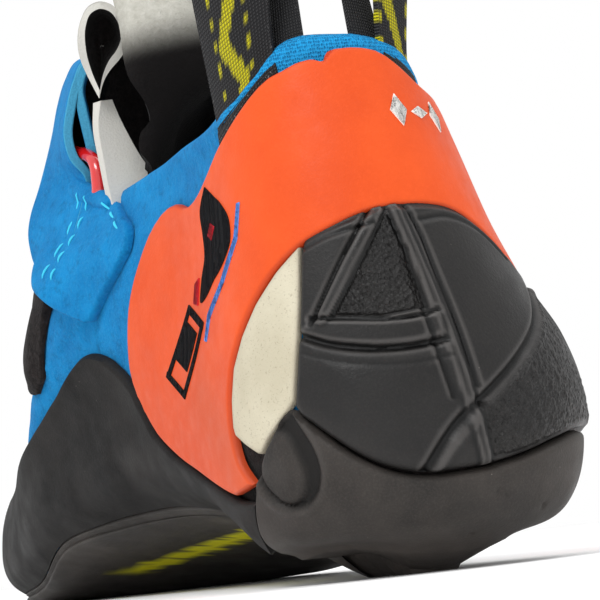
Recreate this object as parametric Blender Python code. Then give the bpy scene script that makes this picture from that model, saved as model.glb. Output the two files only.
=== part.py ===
"""Climbing shoe, right foot, standing on its sole. Metres, +X to the toe, +Y medial, +Z up.

The origin is on the floor under the heel. Every shell is worked out from one last surface,
which is a function of the run round the shoe, the place up the side and the offset from it.
"""
import bmesh
import bpy
import numpy as np

# Sizes of the last.
LENGTH = 0.244
BALL_WIDTH = 0.0765
INSTEP_HEIGHT = 0.101
HEEL_DEPTH = 0.061
HEEL_RUN = 0.048
TOE_RUN = 0.046
HEEL_ROUND = 2.15
TOE_ROUND = 2.1
TOE_TAPER_FROM = 0.012
ORIGIN_SHIFT = 0.030

# Walls and gaps.
UPPER_WALL = 0.0020
GAP = 0.0004
RUBBER = 0.0021
BAND = 0.0016
PANEL = 0.0012
INSOLE = 0.0022
TONGUE = 0.0034
WEBBING = 0.0014
STRAP = 0.0022
RING_TUBE = 0.0013
WELD = 0.00001

# Last sections. Lengths are shares of LENGTH, widths of BALL_WIDTH, heights of INSTEP_HEIGHT.
LAST_COLUMNS = (
    "along", "medial", "lateral", "ridge", "tuck_medial", "tuck_lateral", "shoulder_medial",
    "shoulder_lateral", "top_medial", "top_lateral", "feather_medial", "feather_lateral",
    "wide_height", "shoulder_height", "top_height",
)
LAST_ROWS = np.array([
    (0.131, 0.346, 0.451, 0.013, 0.131, 0.183, 0.314, -0.280,
     0.288, -0.110, 0.045, 0.045, 0.267, 0.614, 1.030),
    (0.246, 0.353, 0.418, 0.020, 0.170, 0.157, 0.327, -0.292,
     0.307, -0.150, 0.139, 0.069, 0.327, 0.634, 1.030),
    (0.369, 0.386, 0.405, 0.039, 0.157, 0.118, 0.431, -0.340,
     0.222, -0.131, 0.178, 0.089, 0.406, 0.673, 1.089),
    (0.492, 0.471, 0.438, 0.078, 0.118, 0.078, 0.536, -0.353,
     0.078, 0.078, 0.173, 0.079, 0.376, 0.614, 1.000),
    (0.594, 0.536, 0.464, 0.118, 0.085, 0.065, 0.536, -0.314,
     0.118, 0.118, 0.149, 0.059, 0.287, 0.465, 0.782),
    (0.705, 0.536, 0.451, 0.170, 0.072, 0.065, 0.484, -0.209,
     0.170, 0.170, 0.069, 0.045, 0.198, 0.356, 0.554),
    (0.820, 0.523, 0.346, 0.216, 0.065, 0.065, 0.458, -0.052,
     0.216, 0.216, 0.045, 0.045, 0.149, 0.287, 0.396),
    (0.910, 0.471, 0.190, 0.248, 0.065, 0.065, 0.418, 0.078,
     0.248, 0.248, 0.045, 0.045, 0.129, 0.238, 0.317),
])

# Five levels of every section, from the feather edge to the ridge.
LEVELS = np.array([0.0, 0.14, 0.34, 0.64, 1.0])
LOW_SIDE = 0.74
LOW_PLACES = np.array([0.0, 0.07, 0.14, 0.22, 0.30, 0.37])
HIGH_SHARES = np.array([0.27, 0.52, 0.76, 1.0])
LOW_HEIGHT = 0.30

# Heel back and toe tip: depth as a share of HEEL_DEPTH or LENGTH, height of INSTEP_HEIGHT,
# and the place of the heel axis to the side as a share of BALL_WIDTH.
BACK_ROWS = np.array([
    (0.197, 0.045, -0.052),
    (0.066, 0.109, -0.052),
    (0.000, 0.277, -0.046),
    (0.074, 0.614, 0.020),
    (0.221, 1.030, 0.052),
])
TIP_ROWS = np.array([
    (0.9754, 0.050),
    (0.9939, 0.079),
    (1.0000, 0.139),
    (0.9754, 0.248),
    (0.9100, 0.317),
])

# The throat closes over the ridge between these two places along the last.
THROAT_FROM = 0.36
THROAT_TO = 0.54

# Collar line: share of the way from the heel back to the end of the throat, then the place
# up the side for each side.
TOPLINE = np.array([
    (0.000, 0.930, 0.930),
    (0.135, 0.925, 0.915),
    (0.230, 0.880, 0.885),
    (0.325, 0.855, 0.870),
    (0.474, 0.825, 0.860),
    (0.623, 0.800, 0.840),
    (0.744, 0.800, 0.835),
    (0.866, 0.880, 0.900),
    (1.000, 1.000, 1.000),
])

# Top of the sole's side rim: run in metres (medial positive), place up the side.
RIM = np.array([
    (-0.086, 0.035), (-0.070, 0.110), (-0.057, 0.220), (-0.045, 0.285), (-0.032, 0.285),
    (-0.018, 0.250), (-0.008, 0.220), (0.008, 0.216), (0.018, 0.250), (0.024, 0.300),
    (0.029, 0.345), (0.0336, 0.325), (0.0384, 0.240), (0.0432, 0.140), (0.048, 0.060),
    (0.055, 0.035),
])

# Sole edge beyond the feather line and its depth below it: run in metres, metres, metres.
SOLE_EDGE = np.array([
    (0.000, -0.0025, 0.0043),
    (0.040, -0.0020, 0.0042),
    (0.065, 0.0012, 0.0030),
    (0.110, 0.0018, 0.0030),
    (0.150, 0.0024, 0.0040),
    (0.290, 0.0026, 0.0043),
])
SOLE_BELLY = 0.0012
RIM_CLEAR = 0.0005
OVERLAY_CLEAR = 0.0007

# Tongue: its rows under the throat along the last, places across, then rows of the free flap:
# along, lateral edge, medial edge, height at the edges, height in the middle. Shares of the
# last's length, ball width and instep height.
TONGUE_ROWS = (0.549, 0.525, 0.500, 0.471, 0.443, 0.414, 0.385)
TONGUE_PLACES = np.array([0.76, 0.82, 0.88, 0.94, 1.0])
TONGUE_CLEAR = 0.0017
TONGUE_FLAP = (
    (0.365, -0.098, 0.281, 0.960, 1.064),
    (0.353, -0.111, 0.346, 1.059, 1.139),
    (0.357, -0.144, 0.399, 1.168, 1.218),
    (0.373, -0.098, 0.392, 1.257, 1.287),
)
FLAP_BEND = 0.004
FLOOR_DIP = 0.0008

# Edges of the overlays: run in metres (medial positive), place up the side.
BAND_LOW = np.array([
    (-0.108, 0.450), (-0.100, 0.300), (-0.090, 0.225), (-0.076, 0.218), (-0.066, 0.240),
    (-0.058, 0.330), (-0.050, 0.420), (-0.042, 0.495), (-0.036, 0.545), (-0.029, 0.594),
    (-0.019, 0.625), (-0.006, 0.644), (0.002, 0.644), (0.010, 0.636), (0.021, 0.606),
    (0.034, 0.537), (0.040, 0.498), (0.044, 0.440), (0.0456, 0.375), (0.0470, 0.240),
    (0.051, 0.225), (0.074, 0.225), (0.088, 0.232), (0.097, 0.281), (0.102, 0.338),
    (0.106, 0.413), (0.108, 0.500),
])
BAND_HIGH = np.array([
    (-0.108, 0.500), (-0.099, 0.620), (-0.085, 0.690), (-0.068, 0.740), (-0.048, 0.800),
    (-0.034, 0.840), (-0.017, 0.868), (-0.007, 0.900), (0.003, 0.902), (0.012, 0.888),
    (0.018, 0.881), (0.027, 0.863), (0.034, 0.838), (0.048, 0.790), (0.054, 0.769),
    (0.068, 0.731), (0.081, 0.735), (0.090, 0.700), (0.099, 0.650), (0.104, 0.594),
    (0.108, 0.530),
])
PANEL_LOW = np.array([(0.0245, 0.312), (0.0290, 0.352), (0.0365, 0.285), (0.0396, 0.265),
                      (0.0446, 0.365)])
RAND_HIGH = np.array([
    (-0.290, 0.660), (-0.250, 0.590), (-0.220, 0.520), (-0.190, 0.450), (-0.165, 0.420),
    (-0.125, 0.390), (-0.108, 0.360), (-0.100, 0.285), (-0.090, 0.214), (-0.076, 0.207),
    (-0.066, 0.205), (0.0436, 0.205), (0.051, 0.214), (0.074, 0.214), (0.088, 0.220),
    (0.097, 0.268), (0.102, 0.325), (0.104, 0.356), (0.108, 0.402), (0.112, 0.442),
    (0.118, 0.474), (0.125, 0.478), (0.133, 0.455), (0.145, 0.458), (0.160, 0.470),
    (0.190, 0.500), (0.220, 0.560), (0.250, 0.620), (0.290, 0.660),
])
PLACE_GAP = 0.006
RUN_GAP = 0.0008
CUP_END = 0.0242
CUP_START = -0.062
PANEL_END = 0.0446
BAND_END = 0.108
RAND_START = 0.0436
RAND_SPLIT = 0.150
RAND_LATERAL = -0.066
HORN = 0.0045
HORN_PLACES = (0.24, 0.38)
HORN_RUNS = (0.052, 0.080)

# Strap over the instep: its place along the last as a share of the length, and its width.
# On the lateral side: place up the side, then how far it leans back in metres.
# Over the instep: side and height of its inner face as shares of the ball width and the
# instep height, then the same lean.
STRAP_AT = 0.4754
STRAP_WIDE = 0.024
STRAP_FOOT = ((0.42, 0.0), (0.50, 0.0012), (0.60, 0.0026), (0.70, 0.0045), (0.77, 0.0060))
STRAP_PATH = (
    (-0.2157, 0.9752, 0.0080), (-0.0784, 1.1188, 0.0095), (0.1176, 1.1782, 0.0100),
    (0.2876, 1.1733, 0.0100), (0.4118, 1.1188, 0.0095), (0.4967, 1.0198, 0.0080),
    (0.5490, 0.9109, 0.0065), (0.5752, 0.8119, 0.0050), (0.5752, 0.7426, 0.0040),
)
STRAP_CLEAR = 0.0011
RETURN_INSET = 0.002
RETURN_PATH = np.array([
    (0.4444, 0.9960), (0.4248, 1.0495), (0.3791, 1.1089), (0.3072, 1.1535), (0.2353, 1.1683),
])

# Ring and the tab that holds it. The ring's middle is in shares of the length, the ball width
# and the instep height, and the tab's upper end is at the same place along.
RING_AT = (0.4262, 0.4510, 0.9208)
RING_HALF = (0.0120, 0.0053)
RING_SQUARE = 0.35
RING_TURN = -0.22
TAB_WIDE = 0.016
TAB_SLANT = 0.014
TAB_PLACES = (0.53, 0.835)
TAB_CLEAR = 0.0012
TAB_FOLD = (3.5, 2.7, 1.9, 1.1, 0.3, -0.5)
BAR_CLEAR = 0.0004

# Pull loops: run of each edge, height of the top.
LOOP_MEDIAL = (0.0225, 0.0475)
LOOP_LATERAL = (-0.0185, -0.0035)
LOOP_TOP = 0.138
LOOP_REACH = 0.0045
LOOP_CLEAR = 0.0006
LOOP_TUCK = 0.05

BLUE = (0.02, 0.30, 0.58)
BLACK = (0.03, 0.03, 0.032)
SOLE_BLACK = (0.045, 0.043, 0.042)
ORANGE = (0.85, 0.16, 0.03)
CREAM = (0.72, 0.68, 0.56)
TONGUE_CREAM = (0.74, 0.72, 0.66)
RED = (0.62, 0.02, 0.02)


def smooth(value):
    """A soft step from 0 to 1."""
    share = np.clip(value, 0.0, 1.0)
    return share * share * (3.0 - 2.0 * share)


def knot_slopes(knots, values):
    """Slopes at the knots of a smooth curve through the values."""
    step = np.diff(knots)
    rise = np.diff(values, axis=0) / step.reshape((-1,) + (1,) * (values.ndim - 1))
    slope = np.empty_like(values)
    slope[0], slope[-1] = rise[0], rise[-1]
    share = (step[1:] / (step[1:] + step[:-1])).reshape((-1,) + (1,) * (values.ndim - 1))
    slope[1:-1] = rise[:-1] * share + rise[1:] * (1.0 - share)
    return slope


def hermite(low, high, slope_low, slope_high, step, share):
    """One span of a smooth curve."""
    back = 1.0 - share
    return (low * (1.0 + 2.0 * share) * back ** 2 + step * slope_low * share * back ** 2
            + high * share ** 2 * (3.0 - 2.0 * share) - step * slope_high * share ** 2 * back)


def curve(knots, values, places):
    """Values of a smooth curve through knots, at an array of places."""
    knots = np.asarray(knots, float)
    values = np.asarray(values, float)
    places = np.clip(np.asarray(places, float), knots[0], knots[-1])
    slope = knot_slopes(knots, values)
    span = np.clip(np.searchsorted(knots, places, side="right") - 1, 0, len(knots) - 2)
    shape = places.shape + (1,) * (values.ndim - 1)
    step = (knots[span + 1] - knots[span]).reshape(shape)
    share = (places - knots[span]).reshape(shape) / step
    return hermite(values[span], values[span + 1], slope[span], slope[span + 1], step, share)


def up_the_side(points, flat_top, places):
    """Point on each section at its place up the side. points is (..., 5, 2), places is (...)."""
    step = np.diff(LEVELS)
    rise = np.diff(points, axis=-2) / step[:, None]
    slope = np.empty_like(points)
    slope[..., 0, :] = rise[..., 0, :]
    slope[..., -1, :] = rise[..., -1, :]
    slope[..., -1, 1] *= 1.0 - flat_top
    share = (step[1:] / (step[1:] + step[:-1]))[:, None]
    slope[..., 1:-1, :] = rise[..., :-1, :] * share + rise[..., 1:, :] * (1.0 - share)
    span = np.clip(np.searchsorted(LEVELS, places, side="right") - 1, 0, len(LEVELS) - 2)
    place = ((places - LEVELS[span]) / step[span])[..., None]
    pick = span[..., None, None]

    def take(array, shift):
        return np.take_along_axis(array, pick + shift, axis=-2)[..., 0, :]

    return hermite(take(points, 0), take(points, 1), take(slope, 0), take(slope, 1),
                   step[span][..., None], place)


X_HEEL = LAST_ROWS[0, 0] * LENGTH
X_TOE = LAST_ROWS[-1, 0] * LENGTH
HALF_RUN = HEEL_RUN + (X_TOE - X_HEEL) + TOE_RUN


def last_row(x):
    """Named sizes of the section at x, in metres."""
    row = curve(LAST_ROWS[:, 0] * LENGTH, LAST_ROWS[:, 1:], x)
    found = {}
    for place, name in enumerate(LAST_COLUMNS[1:]):
        size = INSTEP_HEIGHT if "height" in name or "feather" in name else BALL_WIDTH
        found[name] = row[..., place] * size
    return found


def surface(run, place):
    """Last surface. run is metres from the heel back, medial positive; place is 0 to 1."""
    run = np.asarray(run, float)
    place = np.broadcast_to(np.asarray(place, float), run.shape)
    run = (run + HALF_RUN) % (2.0 * HALF_RUN) - HALF_RUN
    medial = run >= 0.0
    away = np.abs(run)
    x = np.clip(X_HEEL + (away - HEEL_RUN), X_HEEL, X_TOE)
    row = last_row(x)
    wide = np.where(medial, row["medial"], -row["lateral"])
    tuck = np.where(medial, -row["tuck_medial"], row["tuck_lateral"])
    feather = wide + tuck
    foot = np.where(medial, row["feather_medial"], row["feather_lateral"])
    closed = smooth((x / LENGTH - THROAT_FROM) / (THROAT_TO - THROAT_FROM))
    top = np.where(medial, row["top_medial"], row["top_lateral"])
    top = top * (1.0 - closed) + row["ridge"] * closed
    side = np.stack([feather, feather + LOW_SIDE * (wide - feather), wide,
                     np.where(medial, row["shoulder_medial"], row["shoulder_lateral"]), top], -1)
    level = np.stack([foot, foot + LOW_HEIGHT * (row["wide_height"] - foot), row["wide_height"],
                      row["shoulder_height"], row["top_height"]], -1)
    point = up_the_side(np.stack([side, level], -1), closed, place)
    y, z = point[..., 0], point[..., 1]

    back = curve(LEVELS, BACK_ROWS * np.array([HEEL_DEPTH, INSTEP_HEIGHT, BALL_WIDTH]), place)
    turn = np.clip(away / HEEL_RUN, 0.0, 1.0) * np.pi / 2.0
    forth = np.abs(np.cos(turn)) ** (2.0 / HEEL_ROUND)
    out = np.abs(np.sin(turn)) ** (2.0 / HEEL_ROUND)
    blend = np.cos(turn) ** 2
    heel = np.stack([X_HEEL - (X_HEEL - back[..., 0]) * forth,
                     back[..., 2] + (y - back[..., 2]) * out,
                     back[..., 1] * blend + z * (1.0 - blend)], -1)

    before = last_row(np.full_like(x, X_TOE - TOE_TAPER_FROM))
    now = np.where(medial, row["medial"], -row["lateral"])
    then = np.where(medial, before["medial"], -before["lateral"])
    taper = (now - then) / TOE_TAPER_FROM
    tip = curve(LEVELS, TIP_ROWS * np.array([LENGTH, INSTEP_HEIGHT]), place)
    turn = np.clip((away - HALF_RUN + TOE_RUN) / TOE_RUN, 0.0, 1.0) * np.pi / 2.0
    forth = np.abs(np.sin(turn)) ** (2.0 / TOE_ROUND)
    out = np.abs(np.cos(turn)) ** (2.0 / TOE_ROUND)
    blend = np.sin(turn) ** 2
    ahead = (tip[..., 0] - X_TOE) * forth
    toe = np.stack([X_TOE + ahead,
                    row["ridge"] + (y - row["ridge"] + taper * ahead) * out,
                    tip[..., 1] * blend + z * (1.0 - blend)], -1)

    flank = np.stack([x, y, z], -1)
    found = np.where((away < HEEL_RUN)[..., None], heel, flank)
    found = np.where((away > HALF_RUN - TOE_RUN)[..., None], toe, found)
    return found - np.array([ORIGIN_SHIFT, 0.0, 0.0])


def raw_normal(run, place):
    """Outward direction of the last surface."""
    step, rise = 0.0006, 0.012
    round_it = surface(run + step, place) - surface(run - step, place)
    up_it = surface(run, np.minimum(place + rise, 1.0)) - surface(run, np.maximum(place - rise, 0.0))
    found = np.cross(up_it, round_it)
    return found / (np.linalg.norm(found, axis=-1, keepdims=True) + 1e-12)


def normal(run, place):
    """Outward direction, the same from both sides where they meet on the ridge."""
    run = np.asarray(run, float)
    place = np.broadcast_to(np.asarray(place, float), run.shape)
    own = raw_normal(run, place)
    other = raw_normal(-run, place)
    x = np.clip(X_HEEL + (np.abs(run) - HEEL_RUN), X_HEEL, X_TOE) / LENGTH
    closed = smooth((x - THROAT_FROM) / (THROAT_TO - THROAT_FROM))
    share = (0.5 * smooth((place - 0.86) / 0.14) * closed)[..., None]
    found = own * (1.0 - share) + other * share + np.array([0.0, 0.0, 1e-6])
    found = found / np.linalg.norm(found, axis=-1, keepdims=True)
    return found


def shell_point(run, place, offset):
    """Point off the last surface by an offset along its own direction."""
    run = np.asarray(run, float)
    place = np.broadcast_to(np.asarray(place, float), run.shape)
    offset = np.broadcast_to(np.asarray(offset, float), run.shape)
    return surface(run, place) + normal(run, place) * offset[..., None]


def by_run(table, run, column=1):
    """Value of a table with a row for each run."""
    return np.interp(run, table[:, 0], table[:, column])


def topline(run):
    """Place up the side of the collar and throat edge."""
    share = np.abs(run) / (HEEL_RUN + THROAT_TO * LENGTH - X_HEEL)
    medial = curve(TOPLINE[:, 0], TOPLINE[:, 1], share)
    lateral = curve(TOPLINE[:, 0], TOPLINE[:, 2], share)
    return np.clip(np.where(run >= 0.0, medial, lateral), 0.0, 1.0)


def quads(rows, columns, start, flip, around=False):
    """Faces of a grid of points numbered from start."""
    faces = []
    for i in range(rows if around else rows - 1):
        for j in range(columns - 1):
            k = (i + 1) % rows
            face = [start + i * columns + j, start + k * columns + j,
                    start + k * columns + j + 1, start + i * columns + j + 1]
            faces.append(face[::-1] if flip else face)
    return faces


def material(name, colour, roughness):
    """A plain named material."""
    made = bpy.data.materials.new(name)
    made.use_nodes = True
    shader = made.node_tree.nodes["Principled BSDF"]
    shader.inputs["Base Color"].default_value = (*colour, 1.0)
    shader.inputs["Roughness"].default_value = roughness
    return made


def make_object(name, points, faces, colour, roughness=0.7):
    """One closed body from points and faces, welded and facing out."""
    mesh = bpy.data.meshes.new(name)
    body = bmesh.new()
    verts = [body.verts.new(point) for point in points]
    for face in faces:
        body.faces.new([verts[index] for index in face])
    bmesh.ops.remove_doubles(body, verts=body.verts, dist=WELD)
    bmesh.ops.dissolve_degenerate(body, edges=body.edges, dist=WELD)
    bmesh.ops.triangulate(body, faces=body.faces)
    bmesh.ops.recalc_face_normals(body, faces=body.faces)
    if body.calc_volume(signed=True) < 0.0:
        bmesh.ops.reverse_faces(body, faces=body.faces)
    body.to_mesh(mesh)
    body.free()
    made = bpy.data.objects.new(name, mesh)
    mesh.materials.append(material(name + "_material", colour, roughness))
    bpy.context.scene.collection.objects.link(made)
    return made


def skin(name, outer, inner, colour, roughness=0.7, ends=(True, True), low=None, high=None,
         around=False):
    """A closed shell between two grids of the same size, with walls along its open edges.

    low and high say for each span along the rows whether that edge has a wall.
    """
    rows, columns = outer.shape[:2]
    count = rows * columns
    spans = rows if around else rows - 1
    low = np.ones(spans, bool) if low is None else low
    high = np.ones(spans, bool) if high is None else high
    faces = quads(rows, columns, 0, False, around) + quads(rows, columns, count, True, around)
    for i in range(spans):
        k = (i + 1) % rows
        if low[i]:
            a, b = i * columns, k * columns
            faces.append([a, count + a, count + b, b])
        if high[i]:
            a, b = i * columns + columns - 1, k * columns + columns - 1
            faces.append([a, b, count + b, count + a])
    if not around:
        for row, wanted in ((0, ends[0]), (rows - 1, ends[1])):
            for j in range(columns - 1):
                if wanted:
                    a = row * columns + j
                    face = [a, a + 1, count + a + 1, count + a]
                    faces.append(face if row == 0 else face[::-1])
    points = np.concatenate([outer.reshape(-1, 3), inner.reshape(-1, 3)])
    return make_object(name, points, faces, colour, roughness)


def spaced(*parts):
    """Runs from a list of (start, end, count) stretches."""
    runs = [np.linspace(start, end, count, endpoint=False) for start, end, count in parts]
    return np.concatenate(runs + [[parts[-1][1]]])


def side_runs():
    """Runs of one side from the heel back to the toe tip."""
    return spaced((0.0, HEEL_RUN, 10), (HEEL_RUN, HALF_RUN - TOE_RUN, 18),
                  (HALF_RUN - TOE_RUN, HALF_RUN, 8))


def levels(run):
    """Places up the side where the upper has its rows of points, for each run."""
    start = LOW_PLACES[-1]
    high = start + (topline(run)[:, None] - start) * HIGH_SHARES
    return np.concatenate([np.broadcast_to(LOW_PLACES, (len(run), len(LOW_PLACES))), high], 1)


def signed(run):
    """Run brought back to between minus and plus half the way round."""
    return (run + HALF_RUN) % (2.0 * HALF_RUN) - HALF_RUN


def runs_between(start, end, extra=()):
    """The upper's own stations between two runs, with both ends and any extra ones."""
    side = side_runs()
    every = np.concatenate([-side[::-1], side[1:], 2.0 * HALF_RUN - side[::-1][1:]])
    inside = every[(every > start + 0.001) & (every < end - 0.001)]
    return np.unique(np.concatenate([[start, end], inside, list(extra)]))


def on_facets(run, place, offset):
    """Point off the upper's own flat facets, so that a shell keeps an even gap from them."""
    side = side_runs()
    station = np.concatenate([-side[::-1], side[1:]])
    here = signed(run)
    span = np.clip(np.searchsorted(station, here, side="right") - 1, 0, len(station) - 2)
    between = ((here - station[span]) / (station[span + 1] - station[span]))[:, None]
    found = []
    for shift in (0, 1):
        at = station[span + shift]
        rows = levels(at)
        row = np.clip((rows <= place[:, None] + 1e-9).sum(1) - 1, 0, rows.shape[1] - 2)
        pick = np.arange(len(at))
        low, high = rows[pick, row], rows[pick, row + 1]
        share = ((place - low) / (high - low))[:, None]
        found.append(shell_point(at, low, offset) * (1.0 - share)
                     + shell_point(at, high, offset) * share)
    return found[0] * (1.0 - between) + found[1] * between


def facet_grid(runs, places, offset):
    """Grid of points off the upper's facets."""
    flat = on_facets(runs.ravel(), places.ravel(), offset)
    return flat.reshape(runs.shape + (3,))


def overlay(name, run, low, high, outside, colour, roughness=0.7, shear=None):
    """A shell piece on the upper, between two edges, in step with the upper's facets."""
    place = np.clip(levels(signed(run)), low[:, None], high[:, None])
    place[:, 0], place[:, -1] = low, high
    runs = np.broadcast_to(run[:, None], place.shape)
    if shear is not None:
        runs = runs - shear(runs, place)
    outer = facet_grid(runs, place, outside)
    inner = facet_grid(runs, place, OVERLAY_CLEAR)
    return skin(name, outer, inner, colour, roughness)


def build_upper():
    """Hollow upper, open at the collar and throat and underneath."""
    side = side_runs()
    run = np.concatenate([-side[::-1], side[1:]])
    edge = topline(run)
    place = levels(run)
    runs = np.broadcast_to(run[:, None], place.shape)
    outer = shell_point(runs, place, 0.0)
    inner = shell_point(runs, place, -UPPER_WALL)
    shut = (edge[:-1] >= 1.0 - 1e-9) & (edge[1:] >= 1.0 - 1e-9)
    return skin("upper", outer, inner, BLUE, 0.9, ends=(False, False), high=~shut)


def downward(run):
    """Direction of the last's skin as it runs under at the feather edge."""
    found = surface(run, np.zeros_like(run)) - surface(run, np.full_like(run, 0.03))
    return found / np.linalg.norm(found, axis=-1, keepdims=True)


def outward(run):
    """Level direction away from the shoe at the feather edge."""
    found = normal(run, np.zeros_like(run)) * np.array([1.0, 1.0, 0.0])
    return found / np.linalg.norm(found, axis=-1, keepdims=True)


def floor_edge(run, inset):
    """Edge of the floor inside the upper."""
    return shell_point(run, np.zeros_like(run), -UPPER_WALL - inset) + downward(run) * GAP


def across(left, right, count, sag):
    """Points from one edge to the other, sagging in the middle."""
    share = np.linspace(0.0, 1.0, count)[None, :, None]
    found = left[:, None, :] * (1.0 - share) + right[:, None, :] * share
    found[..., 2] -= (sag[:, None] * 4.0 * share[..., 0] * (1.0 - share[..., 0]))
    return found


def build_outsole():
    """Sole with a cupped heel, a raised arch and flat spots where it stands."""
    away = side_runs()
    outer_sides, inner_sides, corners, floors = [], [], [], []
    for sign in (-1.0, 1.0):
        run = sign * away
        rim = by_run(RIM, run)
        place = np.minimum(LOW_PLACES[::-1], rim[:, None])
        runs = np.broadcast_to(run[:, None], place.shape)
        outer_sides.append(shell_point(runs, place, GAP + RUBBER))
        inner_sides.append(shell_point(runs, place, RIM_CLEAR))
        foot = surface(run, np.zeros_like(run))
        reach, depth = by_run(SOLE_EDGE, away, 1), by_run(SOLE_EDGE, away, 2)
        corner = foot + outward(run) * reach[:, None] - np.array([0.0, 0.0, 1.0]) * depth[:, None]
        corners.append(corner)
        under = shell_point(run, np.zeros_like(run), GAP) + downward(run) * GAP
        floors.append((under, floor_edge(run, GAP)))
    belly = np.full_like(away, SOLE_BELLY)
    dip = np.full_like(away, FLOOR_DIP)
    bottom = across(corners[0], corners[1], 7, belly)
    bottom[..., 2] = np.maximum(bottom[..., 2], 0.0)
    floor = across(floors[0][1], floors[1][1], 7, dip)
    outer = np.concatenate([outer_sides[0], bottom, outer_sides[1][:, ::-1]], axis=1)
    inner = np.concatenate([inner_sides[0][:, :-1], floors[0][0][:, None], floor,
                            floors[1][0][:, None], inner_sides[1][:, ::-1][:, 1:]], axis=1)
    return skin("outsole", outer, inner, SOLE_BLACK, 0.8, ends=(False, False))


def build_insole():
    """Thin sheet on the floor inside the upper."""
    away = side_runs()[1:-1]
    low = [floor_edge(sign * away, 3.0 * GAP) for sign in (-1.0, 1.0)]
    dip = np.full_like(away, FLOOR_DIP)
    under = across(low[0], low[1], 5, dip) + np.array([0.0, 0.0, 1.2 * GAP])
    over = under + np.array([0.0, 0.0, INSOLE])
    return skin("insole", over, under, BLACK, 0.9)


def thicken(grid, thickness):
    """The same grid moved by a thickness, along its own direction."""
    along = np.gradient(grid, axis=0)
    over = np.gradient(grid, axis=1)
    direction = np.cross(over, along)
    direction /= np.linalg.norm(direction, axis=-1, keepdims=True) + 1e-12
    return grid - direction * thickness


def build_tongue():
    """Tongue under the throat, rising as a flap above the collar."""
    rows = []
    for along in TONGUE_ROWS:
        away = run_at(along)
        half = []
        for sign in (-1.0, 1.0):
            run = np.full(len(TONGUE_PLACES), sign * away)
            half.append(shell_point(run, TONGUE_PLACES, -UPPER_WALL - TONGUE_CLEAR))
        crown = 0.5 * (half[0][-1] + half[1][-1])
        rows.append(np.concatenate([half[0][:-1], [crown], half[1][:-1][::-1]]))
    count = rows[0].shape[0]
    share = np.linspace(-1.0, 1.0, count)
    for along, lateral, medial, edge, middle in TONGUE_FLAP:
        side = 0.5 * (lateral + medial) + 0.5 * (medial - lateral) * np.sin(share * np.pi / 2.0)
        level = middle - (middle - edge) * np.abs(share) ** 2
        x = along * LENGTH - FLAP_BEND * (1.0 - share ** 2) - ORIGIN_SHIFT
        rows.append(np.stack([x, side * BALL_WIDTH, level * INSTEP_HEIGHT], -1))
    grid = np.array(rows)
    return skin("tongue", grid, thicken(grid, TONGUE), TONGUE_CREAM, 0.85)


def horn(run, place):
    """How far the band's lower tip reaches back under the heel panel."""
    low = 1.0 - smooth((place - HORN_PLACES[0]) / (HORN_PLACES[1] - HORN_PLACES[0]))
    near = 1.0 - smooth((run - HORN_RUNS[0]) / (HORN_RUNS[1] - HORN_RUNS[0]))
    return HORN * low * near * (run > CUP_END)


def build_heel():
    """Heel cup, side panel and the band round the heel."""
    run = runs_between(CUP_START, CUP_END, (-0.0560, -0.0533, -0.0506))
    low = by_run(RIM, run) + PLACE_GAP
    high = by_run(BAND_LOW, run) - PLACE_GAP
    overlay("heel_cup", run, low, high, GAP + RUBBER, BLACK, 0.75)

    run = runs_between(CUP_END + GAP, PANEL_END, (0.0365, 0.0400, 0.0440))
    low = np.maximum(by_run(PANEL_LOW, run), by_run(RIM, run)) + PLACE_GAP
    high = np.maximum(by_run(BAND_LOW, run + RUN_GAP) - PLACE_GAP, low + PLACE_GAP)
    overlay("heel_panel", run, low, high, GAP + PANEL, CREAM, 0.7)

    run = runs_between(-BAND_END, BAND_END, (0.0456, 0.0470, 0.0510, -0.066, -0.0560, -0.0533,
                                                -0.0506, -0.100, 0.102, 0.106))
    low, high = by_run(BAND_LOW, run), by_run(BAND_HIGH, run)
    overlay("sling_band", run, low, high, GAP + BAND, ORANGE, 0.5, shear=horn)


def build_rands():
    """Rubber round the arch and toe."""
    for name, start, end in (("rand_medial", RAND_START, RAND_SPLIT),
                             ("rand_toe", RAND_SPLIT + GAP, 2.0 * HALF_RUN - RAND_SPLIT - GAP),
                             ("rand_lateral", -RAND_SPLIT, RAND_LATERAL)):
        run = runs_between(start, end, (0.104, 0.112, 0.118, 0.1255) if name == "rand_medial" else ())
        here = signed(run)
        low = by_run(RIM, here) + PLACE_GAP
        overlay(name, run, low, by_run(RAND_HIGH, here), GAP + RUBBER, BLACK, 0.8)


def run_at(along):
    """Run of a place along the flank, given as a share of the last's length."""
    return HEEL_RUN + along * LENGTH - X_HEEL


def level_row(x, side, height):
    """Points at each x, with side and height as shares of the ball width and instep height."""
    return np.stack([x, np.full_like(x, side * BALL_WIDTH),
                     np.full_like(x, height * INSTEP_HEIGHT)], -1)


def strap_grid():
    """Inner face of the strap, from its sewn end on the lateral side to its free end."""
    along = STRAP_AT * LENGTH + STRAP_WIDE * np.linspace(-0.5, 0.5, 4)
    rows = []
    for place, lean in STRAP_FOOT:
        run = X_HEEL - HEEL_RUN + lean - along
        rows.append(on_facets(run, np.full_like(run, place), STRAP_CLEAR))
    for side, height, lean in STRAP_PATH:
        x = along - lean - ORIGIN_SHIFT
        rows.append(level_row(x, side, height))
    return np.array(rows)


def return_grid():
    """Outer face of the short layer that runs from the ring to the strap."""
    half = 0.5 * STRAP_WIDE - RETURN_INSET
    x = STRAP_AT * LENGTH + np.linspace(-half, half, 3) - ORIGIN_SHIFT
    return np.array([level_row(x, side, height) for side, height in RETURN_PATH])


def ring_centre():
    """Middle of the ring."""
    return np.array(RING_AT) * (LENGTH, BALL_WIDTH, INSTEP_HEIGHT) - (ORIGIN_SHIFT, 0.0, 0.0)


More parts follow.
